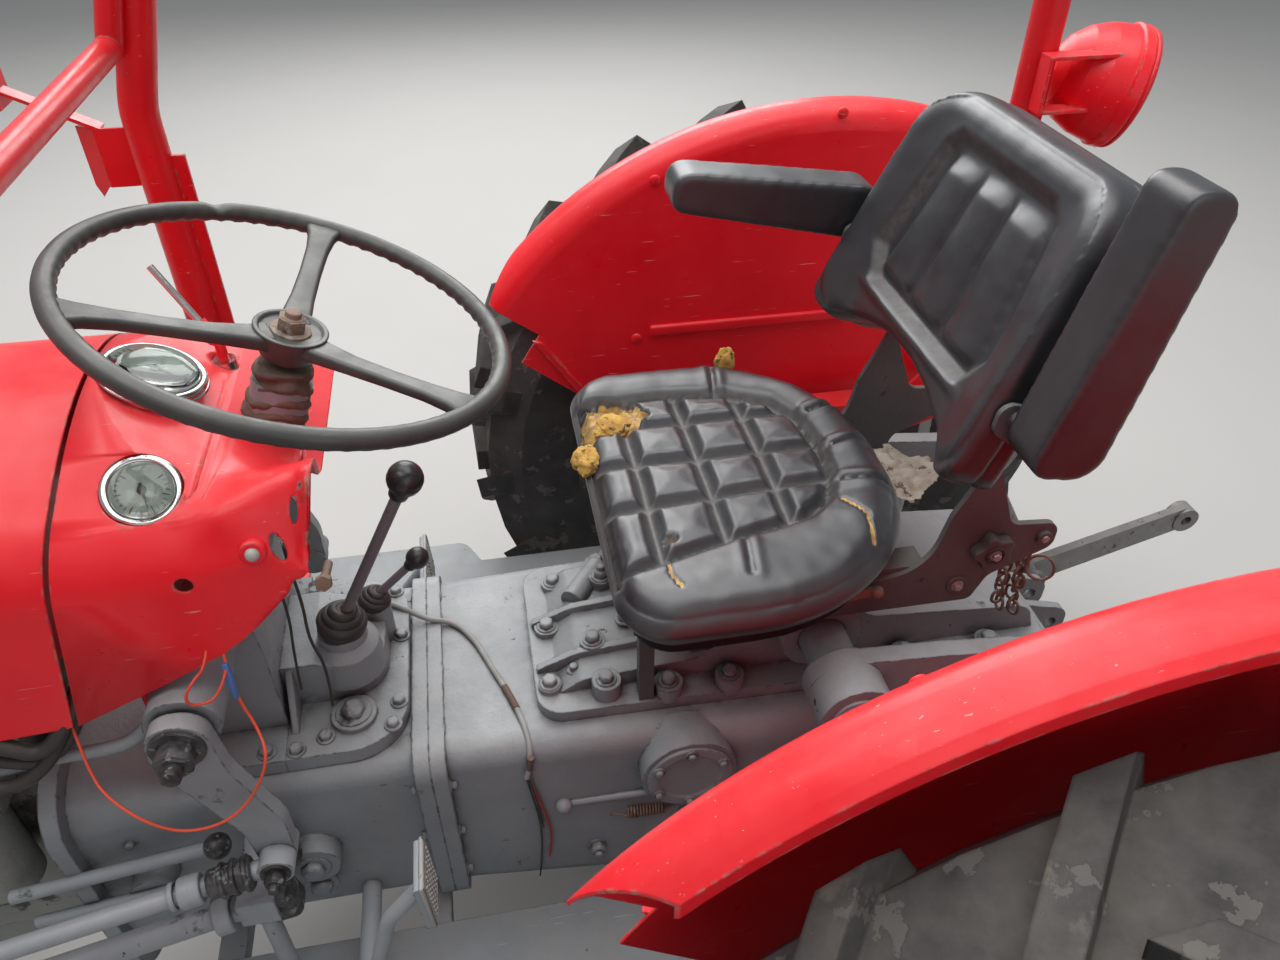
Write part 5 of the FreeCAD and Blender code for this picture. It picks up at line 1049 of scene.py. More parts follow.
# Gear lever knobs, rings and rubber boots
knobs = [((0.670, 0.030, 1.087), 0.0212, (0.782, 0.026, 0.862)),
         ((0.682, -0.040, 0.904), 0.0150, (0.750, -0.040, 0.834))]
parts = []
for centre, radius, base in knobs:
    along = (at(*centre) - at(*base)).normalized()
    knob = ball((0, 0, 0), radius, 48, 32)
    points = readPoints(knob)
    points *= (1 - 0.035 * bell(points[:, 2], 0, 0.06 * radius))[:, None]
    writePoints(knob, points)
    neck = barrel((0, 0, -radius * 1.28), (0, 0, -radius * 0.75), radius * 0.52, 32, radius * 0.62)
    parts.append(placed(joinAll([knob, softEdges(neck, 0.001, 2)]), frameAt(at(*centre), along)))
finishPiece(parts, "leverKnobs", "knobBlack")
boots = []
for (x, y, z), size, lean in (((0.782, 0.026, 0.862), 0.031, (-0.25, 0.0, 1)),
                              ((0.750, -0.040, 0.834), 0.022, (-0.45, 0, 1))):
    matrix = frameAt(at(x, y, z), lean)
    for height, radius, thick in ((0.004, 0.93, 0.30), (0.012, 1.0, 0.26), (0.020, 0.84, 0.24),
                                  (0.027, 0.62, 0.24)):
        fold = hoop((0, 0, size * height / 0.030), up, size * (radius - 0.25), size * thick, 48, 14)
        boots.append(placed(fold, matrix))
    boots.append(placed(barrel((0, 0, 0), (0, 0, size * 0.95), size * 0.74, 40, size * 0.42), matrix))
boots = joinAll(boots)
points = readPoints(boots)
points += 0.0007 * ripple(points, 60, 15)[:, None]
writePoints(boots, points)
finishPiece(boots, "leverBoots", "blackRubber", 60)
rings = [placed(hoop((0, 0, 0.030), up, 0.0115, 0.0035, 32, 10),
                frameAt(at(0.782, 0.026, 0.862), (-0.45, 0.015, 1))),
         placed(hoop((0, 0, 0.021), up, 0.0085, 0.0026, 32, 10),
                frameAt(at(0.750, -0.040, 0.834), (-0.7, 0, 1)))]
finishPiece(rings, "leverRings", "brownRubber", 60)

# Gauges: chrome bezel, pale glass over a dark dial with marks and a needle
gaugeShapes = (((0.902, 0, 1.230), 22, 0, 0.051, 7), ((0.895, 0.143, 1.189), 17, 34, 0.036, 5))
for index, ((x, y, z), back, aside, radius, count) in enumerate(gaugeShapes):
    name = ("large", "small")[index]
    leanBack, leanAside = math.radians(back), math.radians(aside)
    axis = (-math.sin(leanBack) * math.cos(leanAside), math.sin(leanAside),
            math.cos(leanBack) * math.cos(leanAside))
    matrix = frameAt(at(x, y, z), axis)
    bezel = hoop((0, 0, 0.0045), up, radius - 0.0045, 0.0052, 96, 16)
    skirt = hoop((0, 0, 0.0005), up, radius + 0.0005, 0.0022, 96, 10)
    inner = hoop((0, 0, 0.0062), up, radius - 0.0105, 0.0016, 96, 10)
    finishPiece(placed(joinAll([bezel, skirt, inner]), matrix), name + "Bezel", "brightChrome")
    window = radius - 0.0085
    dial = placed(barrel((0, 0, 0.0070), (0, 0, 0.0090), window, 64), matrix)
    finishPiece(dial, name + "Dial", "dialPale")
    marks = []
    for step in range(count * 4 + 1):
        angle = math.radians(-130 + 260 * step / (count * 4))
        long = 0.0055 if step % 4 == 0 else 0.003
        mark = block((0, radius - 0.0135 - long / 2, 0.0093), (0.0006 if step % 4 else 0.0010, long, 0.0005))
        marks.append(placed(mark, Matrix.Rotation(-angle, 4, "Z")))
    needle = barAlong([(0, -0.007, 0.0101), (0, 0, 0.0102), (0, radius - 0.018, 0.0101)],
                      (0.003, 0.0036, 0.0008), (0.0006, 0.0006, 0.0006), (1, 0, 0))
    marks.append(placed(needle, Matrix.Rotation(math.radians(75 - 60 * index), 4, "Z")))
    marks.append(barrel((0, 0, 0.009), (0, 0, 0.0112), 0.0042, 24))
    finishPiece(placed(joinAll(marks), matrix), name + "Marks", "dialMark")
    glass = barrel((0, 0, 0.0112), (0, 0, 0.0124), window, 64)
    editWhere(glass, facing(up))
    insetPick(window * 0.35)
    bpy.ops.transform.translate(value=(0, 0, 0.0014))
    settle()
    finishPiece(placed(softEdges(glass, 0.0004, 1), matrix), name + "Glass", "oldGlass", 70)

# Throttle rod's red lump and its bend
lump = ball((0, 0, 0), 0.010, 24, 16)
points = readPoints(lump)
points *= (1 + 0.25 * ripple(points, 90, 31))[:, None]
writePoints(lump, points)
lump = placed(lump, Matrix.Translation(at(0.857, -0.086, 1.222)))
bend = bentTube([(0.853, -0.080, 1.192), (0.851, -0.079, 1.212), (0.857, -0.086, 1.226),
                 (0.868, -0.093, 1.240)], 0.0056, 4)
finishPiece([lump, bend], "throttleBend", "sheetRed", 60)
print("dash and covers trimmed")


# Seat frame fittings on the near and far side plates
seatPlateY = 0.1545
for side, label, face in bothSides:
    y = side * seatPlateY
    lobes = barrel((0, 0, 0), (0, 0, 0.016), 0.0225, 60)
    points = readPoints(lobes)
    around = np.arctan2(points[:, 1], points[:, 0])
    points[:, :2] *= (1 + 0.16 * np.cos(around * 5))[:, None]
    writePoints(lobes, points)
    softEdges(lobes, 0.0022, 3)
    knobMatrix = frameAt(at(0.001, y, 0.985), face)
    finishPiece(placed(lobes, knobMatrix), "reclineKnob" + label, "darkPlastic", 50)
    ringPart = placed(hoop((0, 0, 0.0165), up, 0.0105, 0.0022, 36, 10), knobMatrix)
    finishPiece(ringPart, "knobRing" + label, "blackRubber", 60)
    spotsHere = [(at(0.001, side * 0.1695, 0.985), face), (at(0.030, y, 0.927), face),
                 (at(-0.067, y, 0.990), face), (at(0.245, y, 0.915), face)]
    boltRow("seatBolts" + label, smallBolt, spotsHere, "bareSteel")
    washers = [softEdges(barrel(at(0.030, y - side * 0.001, 0.927), at(0.030, y + side * 0.0018, 0.927),
                                0.0135, 40), 0.0006, 1),
               softEdges(barrel(at(-0.067, y - side * 0.001, 0.990), at(-0.067, y + side * 0.005, 0.990),
                                0.0095, 40), 0.0006, 1)]
    finishPiece(washers, "seatWashers" + label, "seatIron")
# adjusting rod with its flat black grip, on the near side only
rod = barAlong([at(0.140, 0.163, 0.946), at(0.226, 0.163, 0.933), at(0.330, 0.163, 0.903)],
               (0.007, 0.007, 0.007), (0.013, 0.011, 0.010))
softEdges(rod, 0.0018, 2, 30)
headPart = ball(at(0.140, 0.166, 0.946), 0.0078, 24, 16)
finishPiece([rod, headPart], "adjusterRod", "rustySteel")
grip = barAlong([at(0.318, 0.163, 0.907), at(0.345, 0.163, 0.8985), at(0.368, 0.163, 0.893)],
                (0.014, 0.019, 0.016), (0.013, 0.016, 0.013))
softEdges(grip, 0.0045, 3, 30)
finishPiece(grip, "adjusterGrip", "knobBlack", 50)

# rusty chains with their ring behind the seat
links = []
for start, end, count, seed in (((-0.052, 0.120, 0.958), (-0.062, 0.118, 0.838), 9, 0),
                                ((-0.070, 0.128, 0.950), (-0.078, 0.126, 0.835), 9, 1)):
    for step in range(count):
        share = (step + 0.5) / count
        place = Vector(start).lerp(Vector(end), share) + Vector((0.003 * math.sin(step * 2.1 + seed),
                                                                 0.003 * math.cos(step * 1.7), 0))
        link = hoop((0, 0, 0), up, 0.0078, 0.0021, 28, 8)
        editWhere(link, lambda centre, normal: centre.x > 0)
        bpy.ops.transform.translate(value=(0.0055, 0, 0))
        settle()
        placed(link, Matrix.Translation((-0.00275, 0, 0)))
        turnUp = Matrix(((0, 0, -1, 0), (0, 1, 0, 0), (1, 0, 0, 0), (0, 0, 0, 1)))
        spin = Matrix.Rotation(math.radians(90 * (step % 2) + 25 * seed), 4, "Z")
        links.append(placed(link, Matrix.Translation(at(*place)) @ spin @ turnUp))
links.append(placed(hoop((0, 0, 0), up, 0.0165, 0.0022, 36, 8),
                    frameAt(at(-0.090, 0.140, 0.922), (0.5, 0.8, 0.3))))
finishPiece(links, "seatChains", "rustySteel", 60)

# Power take-off lever, its ball and rod, the hooked spring and bolts on the side of the case, greasy and with
# painted shade round them
leverRod = bentTube([(0.528, 0.172, 0.630), (0.470, 0.176, 0.6335), (0.400, 0.182, 0.640),
                     (0.345, 0.182, 0.643)], 0.0052, 4)
leverBall = ball(at(0.530, 0.1735, 0.6295), 0.0115, 32, 22)
finishPiece([leverRod, leverBall], "takeoffLever", "rodGrey", 60)
coil = []
for step in range(121):
    turn = step / 10 * 2 * math.pi
    coil.append((0.446 - 0.0042 * step / 10, 0.181 + 0.0078 * math.cos(turn),
                 0.598 + 0.0078 * math.sin(turn)))
firstHook = [(0.470, 0.181, 0.600), (0.455, 0.181, 0.598)]
lastHook = [(0.388, 0.181, 0.600), (0.372, 0.180, 0.602)]
hooked = bentTube(firstHook + coil + lastHook, 0.0016, 2)
finishPiece(hooked, "returnSpring", "rustySteel", 60)
caseBolts = [(at(0.488, 0.173, 0.520), left), (at(0.372, 0.180, 0.606), left),
             (at(1.050, 0.165, 0.700), left), (at(1.095, 0.165, 0.560), left)]
boltRow("caseBolts", studNut, caseBolts, "castGrey")

# Studs, ball joints and nuts of the steering linkage
armX, armZ = 0.910, 0.955
eyeX, eyeZ = 0.860, 0.748
for side, label, face in bothSides:
    body = "drop_arm_" + label.lower()
    castle = placed(copyTo(studNut, (0, 0, 0)), Matrix.Scale(1.9, 4))
    placed(castle, frameAt(at(armX, side * 0.2565, armZ), face))
    finishPiece(castle, "dropArmNut" + label, "greasyIron", body=body)
    eyeNut = placed(copyTo(studNut, (0, 0, 0)), Matrix.Scale(1.15, 4))
    placed(eyeNut, frameAt(at(eyeX, side * 0.2805, eyeZ), face))
    finishPiece(eyeNut, "dragLinkNut" + label, "greasyIron", body=body)
    bootRing = hoop(at(eyeX, side * 0.2565, eyeZ), left, 0.0150, 0.0040, 36, 10)
    finishPiece(bootRing, "dragLinkBoot" + label, "blackRubber", 60, body=body)

# Pedal pads with rows of studs and a raised rim
for name, x, low, high, z in (("clutch", 0.700, 0.295, 0.355, 0.751),
                              ("innerBrake", 0.710, -0.318, -0.262, 0.608),
                              ("outerBrake", 0.710, -0.382, -0.326, 0.608)):
    along = (at(x - 0.004, 0, z + 0.042) - at(x - 0.008, 0, z - 0.038)).normalized()
    middle = at(x - 0.006, (low + high) / 2, z + 0.002)
    matrix = frameAt(middle, (-1, 0, 0.05), along)
    cover = softEdges(block((0, 0, 0.0012), (0.084, high - low + 0.004, 0.005)), 0.0022, 3)
    stepFace(cover, up, (0.0035, 0.0), (0.0008, -0.0012))
    studsHere = [cover]
    stud = softEdges(barrel((0, 0, 0.0010), (0, 0, 0.0052), 0.0024, 12, 0.0018), 0.0005, 1)
    for column in range(6):
        for row in range(9):
            shift = 0.0040 if column % 2 else 0.0
            if row == 8 and column % 2:
                continue
            studsHere.append(copyTo(stud, (-0.0335 + row * 0.0082 + shift, (column - 2.5) * 0.0088, 0.0012)))
    drop(stud)
    finishPiece(placed(joinAll(studsHere), matrix), name + "Pad", "padGrey", 40)
print("linkage and seat fittings trimmed")
for model in (bigBolt, midBolt, smallBolt, studNut, plug):
    drop(model)


# Wires and pipes: fixed trim on the chassis, never loose
# each piece has its finish, its slot and its runs: radius, roundness and places
harness = (
    ("orangeWire", "orangeWire", "plastic_black",
     ((0.0016, 3, ((1.030, 0.185, 0.985), (1.020, 0.210, 0.952), (1.0062, 0.245, 0.9084),
                   (0.984, 0.268, 0.8981), (0.9531, 0.285, 0.8782), (0.9233, 0.285, 0.8549),
                   (0.8817, 0.285, 0.8621), (0.8528, 0.270, 0.8795), (0.8259, 0.268, 0.9346),
                   (0.8382, 0.236, 0.9479), (0.8498, 0.226, 0.979), (0.8532, 0.216, 1.0312),
                   (0.856, 0.185, 1.060))),
      (0.0015, 3, ((0.8525, 0.219, 1.020), (0.860, 0.240, 1.001), (0.8826, 0.250, 1.0058),
                   (0.8876, 0.250, 1.019), (0.8749, 0.243, 1.036), (0.868, 0.222, 1.030),
                   (0.862, 0.175, 1.065))))),
    ("paleCable", "paleCable", "plastic_black",
     ((0.0038, 4, ((0.832, -0.105, 0.790), (0.790, -0.112, 0.781), (0.755, -0.103, 0.7795),
                   (0.720, -0.081, 0.7785), (0.690, -0.065, 0.7650), (0.655, -0.064, 0.7560),
                   (0.626, -0.027, 0.7560), (0.604, 0.033, 0.7560), (0.582, 0.089, 0.7560),
                   (0.571, 0.128, 0.7555), (0.566, 0.156, 0.7500), (0.567, 0.1755, 0.730),
                   (0.574, 0.1770, 0.705))),)),
    ("cableTape", "brownRubber", "plastic_black",
     ((0.0046, 4, ((0.590, 0.068, 0.7562), (0.583, 0.087, 0.7562), (0.577, 0.107, 0.7560))),
      (0.0044, 4, ((0.5665, 0.1755, 0.742), (0.569, 0.177, 0.722))))),
    ("thinRedWire", "redWire", "plastic_black",
     ((0.0013, 2, ((0.574, 0.1770, 0.708), (0.566, 0.1765, 0.674), (0.556, 0.1765, 0.62),
                   (0.548, 0.1765, 0.559), (0.556, 0.176, 0.515))),)),
    ("thinWires", "blackRubber", "plastic_black",
     ((0.0013, 2, ((0.575, 0.1775, 0.708), (0.570, 0.177, 0.665), (0.562, 0.177, 0.60),
                   (0.566, 0.177, 0.515), (0.572, 0.176, 0.47))),
      (0.0012, 2, ((0.573, 0.178, 0.708), (0.563, 0.178, 0.655), (0.560, 0.177, 0.59))),
      (0.0018, 3, ((0.800, 0.100, 1.04), (0.797, 0.100, 0.987), (0.803, 0.100, 0.923), (0.792, 0.098, 0.87),
                   (0.80, 0.096, 0.80))),
      (0.0016, 3, ((0.815, 0.108, 1.04), (0.812, 0.108, 0.98), (0.822, 0.107, 0.91), (0.826, 0.107, 0.85))))),
    ("darkHoses", "blackRubber", "vinyl_black",
     ((0.0085, 5, ((1.150, 0.205, 0.98), (1.087, 0.215, 0.948), (1.060, 0.215, 0.925), (1.030, 0.210, 0.95),
                   (0.985, 0.20, 1.02))),
      (0.0075, 5, ((1.200, 0.205, 0.90), (1.117, 0.212, 0.872), (1.075, 0.212, 0.890), (1.040, 0.205, 0.930),
                   (1.010, 0.19, 0.99))),
      (0.0060, 4, ((1.170, 0.200, 0.94), (1.100, 0.205, 0.905), (1.060, 0.205, 0.900), (1.020, 0.195, 0.94),
                   (1.000, 0.185, 1.00))))),
    ("greyPipe", "castGrey", "casting_grey",
     ((0.0075, 5, ((1.120, 0.195, 0.885), (1.064, 0.200, 0.902), (0.993, 0.200, 0.902),
                   (0.962, 0.200, 0.922), (0.938, 0.198, 0.960), (0.930, 0.180, 0.985))),)),
)
for name, finish, slot, runs in harness:
    strands = [bentTube(route, radius, sides) for radius, sides, route in runs]
    finishPiece(strands, name, finish, 60)
plugPart = barAlong([at(0.8508, 0.2255, 0.983), at(0.8520, 0.221, 1.0075), at(0.8532, 0.216, 1.0250)],
                    (0.006, 0.0075, 0.006), (0.006, 0.0075, 0.006))
softEdges(plugPart, 0.0015, 2)
finishPiece(plugPart, "bluePlug", "bluePlastic", 60)

# Brown clip bolt below the edge of the cowl
clip = barrel(at(0.742, 0.172, 1.100), at(0.742, 0.206, 1.108), 0.0045, 16)
clipHead = barrel(at(0.742, 0.205, 1.108), at(0.742, 0.212, 1.110), 0.0085, 6)
finishPiece([clip, clipHead], "cowlClip", "rustySteel")

# Torn pale rag tucked between the cushion and the far side plate
settle()
bpy.ops.mesh.primitive_grid_add(x_subdivisions=90, y_subdivisions=70, size=1, location=(0, 0, 0))
rag = bpy.context.object
rag.scale = (0.150, 0.110, 1)
fixPlace(rag)
points = readPoints(rag)
flatSpots = points.copy()
edgeNoise = ripple(flatSpots, 55, 41) * 0.014 + ripple(flatSpots, 140, 42) * 0.006
wrinkles = ripple(flatSpots * np.array((0.25, 1, 1)), 120, 45)
points[:, 2] = 0.016 * ripple(flatSpots, 22, 43) + 0.007 * ripple(flatSpots, 52, 44) + 0.004 * wrinkles
points[:, 2] -= 0.020 * np.clip(np.abs(points[:, 0]) / 0.075, 0, 1) ** 2
writePoints(rag, points)
lost = np.maximum(np.abs(flatSpots[:, 0]) - 0.064, np.abs(flatSpots[:, 1]) - 0.046) + edgeNoise > 0
pick(rag)
bpy.ops.object.mode_set(mode="EDIT")
bpy.ops.mesh.select_mode(type="VERT")
bpy.ops.mesh.select_all(action="DESELECT")
mesh = bmesh.from_edit_mesh(rag.data)
mesh.verts.ensure_lookup_table()
for index in np.nonzero(lost)[0]:
    mesh.verts[int(index)].select_set(True)
bmesh.update_edit_mesh(rag.data)
bpy.ops.mesh.delete(type="VERT")
settle()
modify(rag, "SOLIDIFY", thickness=0.0012)
turnRag = Matrix.Rotation(math.radians(38), 4, "Z") @ Matrix.Rotation(math.radians(-10), 4, "Y")
placed(rag, Matrix.Translation(at(0.030, -0.030, 0.972)) @ turnRag)
finishPiece(rag, "tornRag", "ragCloth", 60)
print("wires and rag placed")


# Cowl drawn up into a rounded corner beside the column, on the left, from an even copy of the CAD sheet
def selectPoints(piece, chosen, kind="VERT"):
    pick(piece)
    bpy.ops.object.mode_set(mode="EDIT")
    bpy.ops.mesh.select_mode(type=kind)
    bpy.ops.mesh.select_all(action="DESELECT")
    mesh = bmesh.from_edit_mesh(piece.data)
    items = mesh.verts if kind == "VERT" else mesh.edges
    items.ensure_lookup_table()
    for index in np.nonzero(chosen)[0]:
        items[int(index)].select_set(True)
    bmesh.update_edit_mesh(piece.data)


def splitLongEdges(piece, limit, passes, inside):
    # halve the edges that are longer than the limit wherever the test says so
    for step in range(passes):
        points = readPoints(piece)
        ends = np.empty(len(piece.data.edges) * 2, dtype=np.int64)
        piece.data.edges.foreach_get("vertices", ends)
        first, second = points[ends[0::2]], points[ends[1::2]]
        chosen = (np.linalg.norm(first - second, axis=1) > limit) & inside((first + second) / 2)
        if not chosen.any():
            break
        selectPoints(piece, chosen, "EDGE")
        bpy.ops.mesh.subdivide(number_cuts=1)
        settle()


cowlShape = {"from": 0.852, "length": 0.109, "raise": 0.100, "reach": -0.020, "half": 0.2005,
             "widening": 0.073, "gap": 0.018, "rearGap": 0.022, "middle": 0.035}
originX = at(0, 0, 0)[0]
settle()
cowl = nodes["instrument_cowl"].copy()
cowl.data = nodes["instrument_cowl"].data.copy()
bpy.context.collection.objects.link(cowl)
fixPlace(cowl)
modify(cowl, "WELD", merge_threshold=0.00005)
splitLongEdges(cowl, 0.008, 8, lambda spot: (spot[:, 0] - originX < 0.93) & (spot[:, 2] > 1.06))
points = readPoints(cowl)
x = points[:, 0] - originX
y = np.abs(points[:, 1])
share = np.clip((cowlShape["from"] - x) / cowlShape["length"], 0, 1.1)
lift = share * share * (3 - 2 * np.clip(share, 0, 1)) * 0.5 + share * 0.5
outer = cowlShape["half"] + cowlShape["widening"] * (x - 0.703)
ridge = outer - cowlShape["gap"] - cowlShape["rearGap"] * share
rise = between((y - cowlShape["middle"]) / (ridge - cowlShape["middle"]), 0, 1)
fall = between((outer - 0.002 - y) / (outer - 0.002 - ridge), 0, 1)
bump = np.where(y < ridge, rise, fall) * np.where((points[:, 2] > 1.07) & (points[:, 1] > 0), 1.0, 0.0)
points[:, 2] += cowlShape["raise"] * lift * bump
points[:, 0] += cowlShape["reach"] * share * bump
writePoints(cowl, points)
away = np.full(len(points), 1.0)
for spot, reach in (((0.895, 0.143, 1.189), 0.050), ((0.902, 0.0, 1.230), 0.066),
                    ((0.797, 0.0, 1.158), 0.062), ((0.853, -0.080, 1.198), 0.032)):
    away = np.minimum(away, np.linalg.norm(points - np.array(at(*spot)), axis=1) - reach)
loose = (x > 0.762) & (x < 0.885) & (away > 0) & (points[:, 2] > 1.10)
selectPoints(cowl, loose)
bpy.ops.mesh.vertices_smooth(factor=0.5, repeat=18)
settle()
holes = ((0.864, 1.128, 0.0085, 0.0085, 0), (0.776, 1.150, 0.0062, 0.0150, 12),
         (0.757, 1.180, 0.0035, 0.0130, -8))
for x, z, wide, high, turn in holes:
    cutter = barrel((0, 0, 0), (0, 0.06, 0), 1.0, 28)
    cutter.scale = (wide, 1, high)
    cutter.rotation_euler = (0, math.radians(turn), 0)
    cutter.location = at(x, 0.165, z)
    fixPlace(cutter)
    modify(cowl, "BOOLEAN", object=cutter, operation="DIFFERENCE", solver="EXACT")
    drop(cutter)
modify(cowl, "WELD", merge_threshold=0.00004)
cowl.data.validate()
finishPiece(cowl, "instrumentCowl", "sheetRed", 45)
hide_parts("instrument_cowl")
bushing = softEdges(barrel(at(0.797, 0.196, 1.152), at(0.797, 0.2080, 1.154), 0.0125, 36), 0.0020, 3)
finishPiece(bushing, "cowlBushing", "sheetRed", 60)
lens = ball(at(0.797, 0.2080, 1.154), 0.0068, 24, 14)
finishPiece(lens, "cowlButton", "dialPale", 60)
print("cowl drawn up at its rear corner")


# Nuts and caps of the wheels, lamp glasses, rivets, and the greasy rods beside the gearbox
wheelBase, frontRadius, rearRadius = 1.830, 0.365, 0.610
lampX, lampY, lampZ = 1.889, 0.290, 1.060
wheelNut = hexBolt(0.0150, 0.016, 0.021, 0.010)
smallWheelNut = hexBolt(0.0110, 0.012, 0.0, 0.007)
for side, label, face in bothSides:
    low = label.lower()
    places = boltCircle((0, side * 0.6640, rearRadius), 0.105, 8, face)
    boltRow("rearWheelNuts" + label, wheelNut, places, "rustySteel", body="rear_wheel_" + low)
    places = boltCircle((wheelBase, side * 0.6765, frontRadius), 0.080, 6, face)
    boltRow("frontWheelNuts" + label, smallWheelNut, places, "rustySteel",
            body="front_wheel_" + low)
    cap = barrel(at(wheelBase, side * 0.718, frontRadius), at(wheelBase, side * 0.746, frontRadius), 0.034,
                 40, 0.028)
    finishPiece(softEdges(cap, 0.005, 3), "hubCap" + label, "rimPaint",
                body="front_wheel_" + low)
    ring = hoop(at(lampX, side * lampY, lampZ), ahead, 0.0645, 0.0050, 60, 12)
    finishPiece(ring, "headlampRing" + label, "brightChrome", 60, body="hood_assembly")
    mirror = barrel(at(1.893, side * lampY, lampZ), at(1.8965, side * lampY, lampZ), 0.057, 48, 0.050)
    finishPiece(softEdges(mirror, 0.0012, 2), "headlampMirror" + label, "brightChrome", 60,
                body="hood_assembly")
    lens = ball((0, 0, 0), 0.062, 48, 24)
    lens.scale = (0.22, 1, 1)
    lens.location = at(lampX, side * lampY, lampZ)
    finishPiece(fixPlace(lens), "headlampGlass" + label, "oldGlass", 60, body="hood_assembly")
for model in (wheelNut, smallWheelNut):
    drop(model)
lampAxis = Vector((-0.92, 0.315, -0.233)).normalized()
lampCentre = at(-0.421, -0.460, 1.321)
lampRing = hoop(lampCentre + lampAxis * 0.024, tuple(lampAxis), 0.0835, 0.0050, 72, 12)
finishPiece(lampRing, "workLampRing", "frameRed", 60)
mirror = softEdges(barrel(lampCentre + lampAxis * 0.022, lampCentre + lampAxis * 0.0325, 0.079, 56), 0.002, 2)
finishPiece(mirror, "workLampMirror", "brightChrome", 60)
lens = ball((0, 0, 0), 0.078, 56, 28)
lens.scale = (1, 1, 0.20)
placed(fixPlace(lens), frameAt(lampCentre + lampAxis * 0.026, tuple(lampAxis)))
finishPiece(lens, "workLampGlass", "oldGlass", 60)

rivet = ball((0, 0, 0), 0.0090, 20, 12)
rivet.scale = (1, 1, 0.42)
fixPlace(rivet)
rivets = []
for side in (1, -1):
    face = (0, -side, 0)
    for x, z in ((-0.011, 1.289), (0.213, 0.840), (-0.176, 0.738), (-0.052, 0.958), (0.280, 1.204),
                 (0.310, 0.931)):
        rivets.append((at(x, side * 0.4995, z), face))
boltRow("fenderRivets", rivet, rivets, "sheetRed")
drop(rivet)
ribs = [softEdges(block(at(0.112, side * 0.4985, 0.9435), (0.350, 0.010, 0.020)), 0.0045, 3)
        for side in (1, -1)]
finishPiece(ribs, "fenderRibs", "sheetRed", 50)

for side, label, face in bothSides:
    y = side * 0.208
    rods = [bentTube([(0.943, y, 0.710), (1.060, y, 0.692), (1.183, y, 0.673)], 0.0085, 4),
            bentTube([(0.915, y, 0.653), (1.050, y, 0.631), (1.177, y, 0.613)], 0.0075, 4),
            bentTube([(0.896, y, 0.640), (0.906, y, 0.570), (0.921, y, 0.508)], 0.0080, 4)]
    finishPiece(rods, "controlRods" + label, "rodGrey", 60)
    joints = [ball(at(0.875, y, 0.670), 0.021, 28, 18), ball(at(0.943, y, 0.710), 0.016, 24, 16),
              ball(at(0.915, y, 0.653), 0.015, 24, 16),
              softEdges(barrel(at(0.880, y - 0.02, 0.672), at(0.880, y + 0.02, 0.672), 0.012, 6), 0.0015, 1)]
    finishPiece(joints, "rodJoints" + label, "greasyIron", 60)
    collar = [hoop(at(1.096, side * 0.170, 0.630), left, 0.020, 0.006, 36, 12),
              ball(at(1.096, side * 0.166, 0.630), 0.017, 24, 16)]
    finishPiece(collar, "greasyKnob" + label, "greasyIron", 60)
print("wheels, lamps and rivets trimmed")


# Boots, collars and grease where the drag link and the radius rod meet below the drop arm
for side, label, face in bothSides:
    linkBody = "drag_link_" + label.lower()
    eye = at(eyeX, side * 0.268, eyeZ)
    run = (at(wheelBase, side * 0.410, 0.691) - eye).normalized()
    boot = softEdges(barrel(eye + run * 0.026, eye + run * 0.074, 0.0190, 32, 0.0165), 0.0035, 3)
    rings = [hoop(eye + run * reach, tuple(run), radius, 0.0034, 32, 10)
             for reach, radius in ((0.032, 0.0180), (0.045, 0.0178), (0.058, 0.0172))]
    finishPiece([boot] + rings, "linkBoot" + label, "greasyIron", 60, body=linkBody)
    collars = [softEdges(barrel(eye + run * 0.080, eye + run * 0.104, 0.0178, 32), 0.0022, 2),
               softEdges(barrel(eye + run * 0.108, eye + run * 0.114, 0.0158, 32), 0.0012, 2)]
    finishPiece(collars, "linkCollar" + label, "rodGrey", 60, body=linkBody)
    lump = softEdges(block(at(0.884, side * 0.250, 0.652), (0.052, 0.040, 0.058), (0, math.radians(12), 0)),
                     0.010, 3)
    knob = ball(at(1.056, side * 0.170, 0.634), 0.0120, 24, 16)
    finishPiece([lump, knob], "greasyJoint" + label, "greasyIron", 60)
    rodStart = at(0.900, side * 0.258, 0.661)
    rodRun = (at(1.816, side * 0.390, 0.591) - rodStart).normalized()
    ring = softEdges(barrel(rodStart + rodRun * 0.030, rodStart + rodRun * 0.050, 0.0245, 36), 0.0030, 3)
    finishPiece(ring, "radiusRodRing" + label, "rodGrey", 60)
print("linkage dressed")


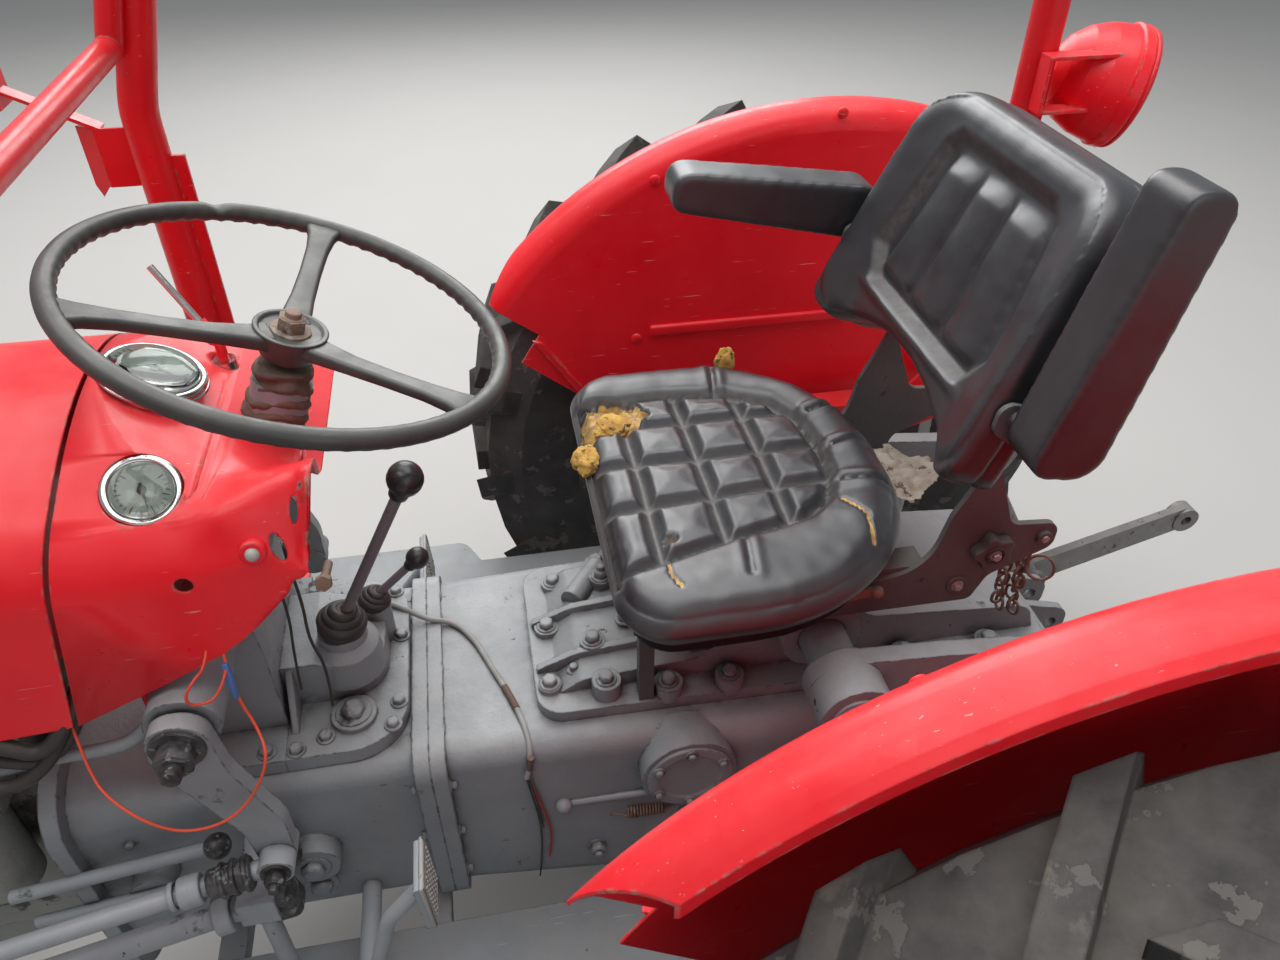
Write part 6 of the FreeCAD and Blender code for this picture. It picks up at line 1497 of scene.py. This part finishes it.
# Camera at the photograph's place and angle
view = {"place": (-0.094, 0.9156, 1.7563), "forward": (-0.1426, -0.7725, -0.6189),
        "right": (-0.9834, 0.1815, 0.0), "lens": 27.06, "sensor": 36.0}
bpy.ops.object.camera_add(location=view["place"])
camera = bpy.context.object
camera.name = "photoCamera"
back = -Vector(view["forward"]).normalized()
right = Vector(view["right"])
right = (right - back * right.dot(back)).normalized()
turnMatrix = Matrix((right, back.cross(right), back)).transposed().to_4x4()
camera.matrix_world = Matrix.Translation(Vector(view["place"])) @ turnMatrix
camera.data.lens = view["lens"]
camera.data.sensor_width = view["sensor"]
camera.data.clip_start = 0.05
bpy.context.scene.camera = camera

# Floor, sky and lamps
stageLook = {"size": 30.0, "floor": (0.46, 0.45, 0.43), "sky": (0.86, 0.90, 0.96), "skyStrength": 0.36,
             "lampHeight": 5.2, "lampSize": 6.0, "lampPower": 340.0, "farPower": 200.0, "fillPower": 38.0}
settle()
bpy.ops.mesh.primitive_plane_add(size=stageLook["size"], location=(0, 0, -0.001))
floor = fixPlace(bpy.context.object)
floor.name = "floor"
floorFinish = bpy.data.materials.new("floorPaint")
floorFinish.use_nodes = True
floorTree = floorFinish.node_tree
floorTone = overlay(floorTree, spots(floorTree, 1.5, 0.3, 0.7), stageLook["floor"],
                    [tone * 0.97 for tone in stageLook["floor"]])
floorTree.links.new(floorTone, floorTree.nodes["Principled BSDF"].inputs["Base Color"])
floorTree.nodes["Principled BSDF"].inputs["Roughness"].default_value = 0.9
floor.data.materials.append(floorFinish)
world = bpy.data.worlds.new("studio")
bpy.context.scene.world = world
world.use_nodes = True
sky = world.node_tree.nodes["Background"]
sky.inputs["Color"].default_value = (*stageLook["sky"], 1)
sky.inputs["Strength"].default_value = stageLook["skyStrength"]
for lampName, place, power, size in (("topLamp", (0.3, -0.6, stageLook["lampHeight"]), "lampPower", 1.0),
                                     ("farLamp", (-0.4, -5.2, 3.9), "farPower", 0.6),
                                     ("sideLamp", (-1.5, 4.5, 2.6), "fillPower", 0.6)):
    settle()
    bpy.ops.object.light_add(type="AREA", location=place)
    lamp = bpy.context.object
    lamp.name = lampName
    lamp.data.energy = stageLook[power]
    lamp.data.size = stageLook["lampSize"] * size
    lamp.rotation_euler = (Vector((0, 0, 0.8)) - lamp.location).to_track_quat("-Z", "Y").to_euler()
print("stage ready")
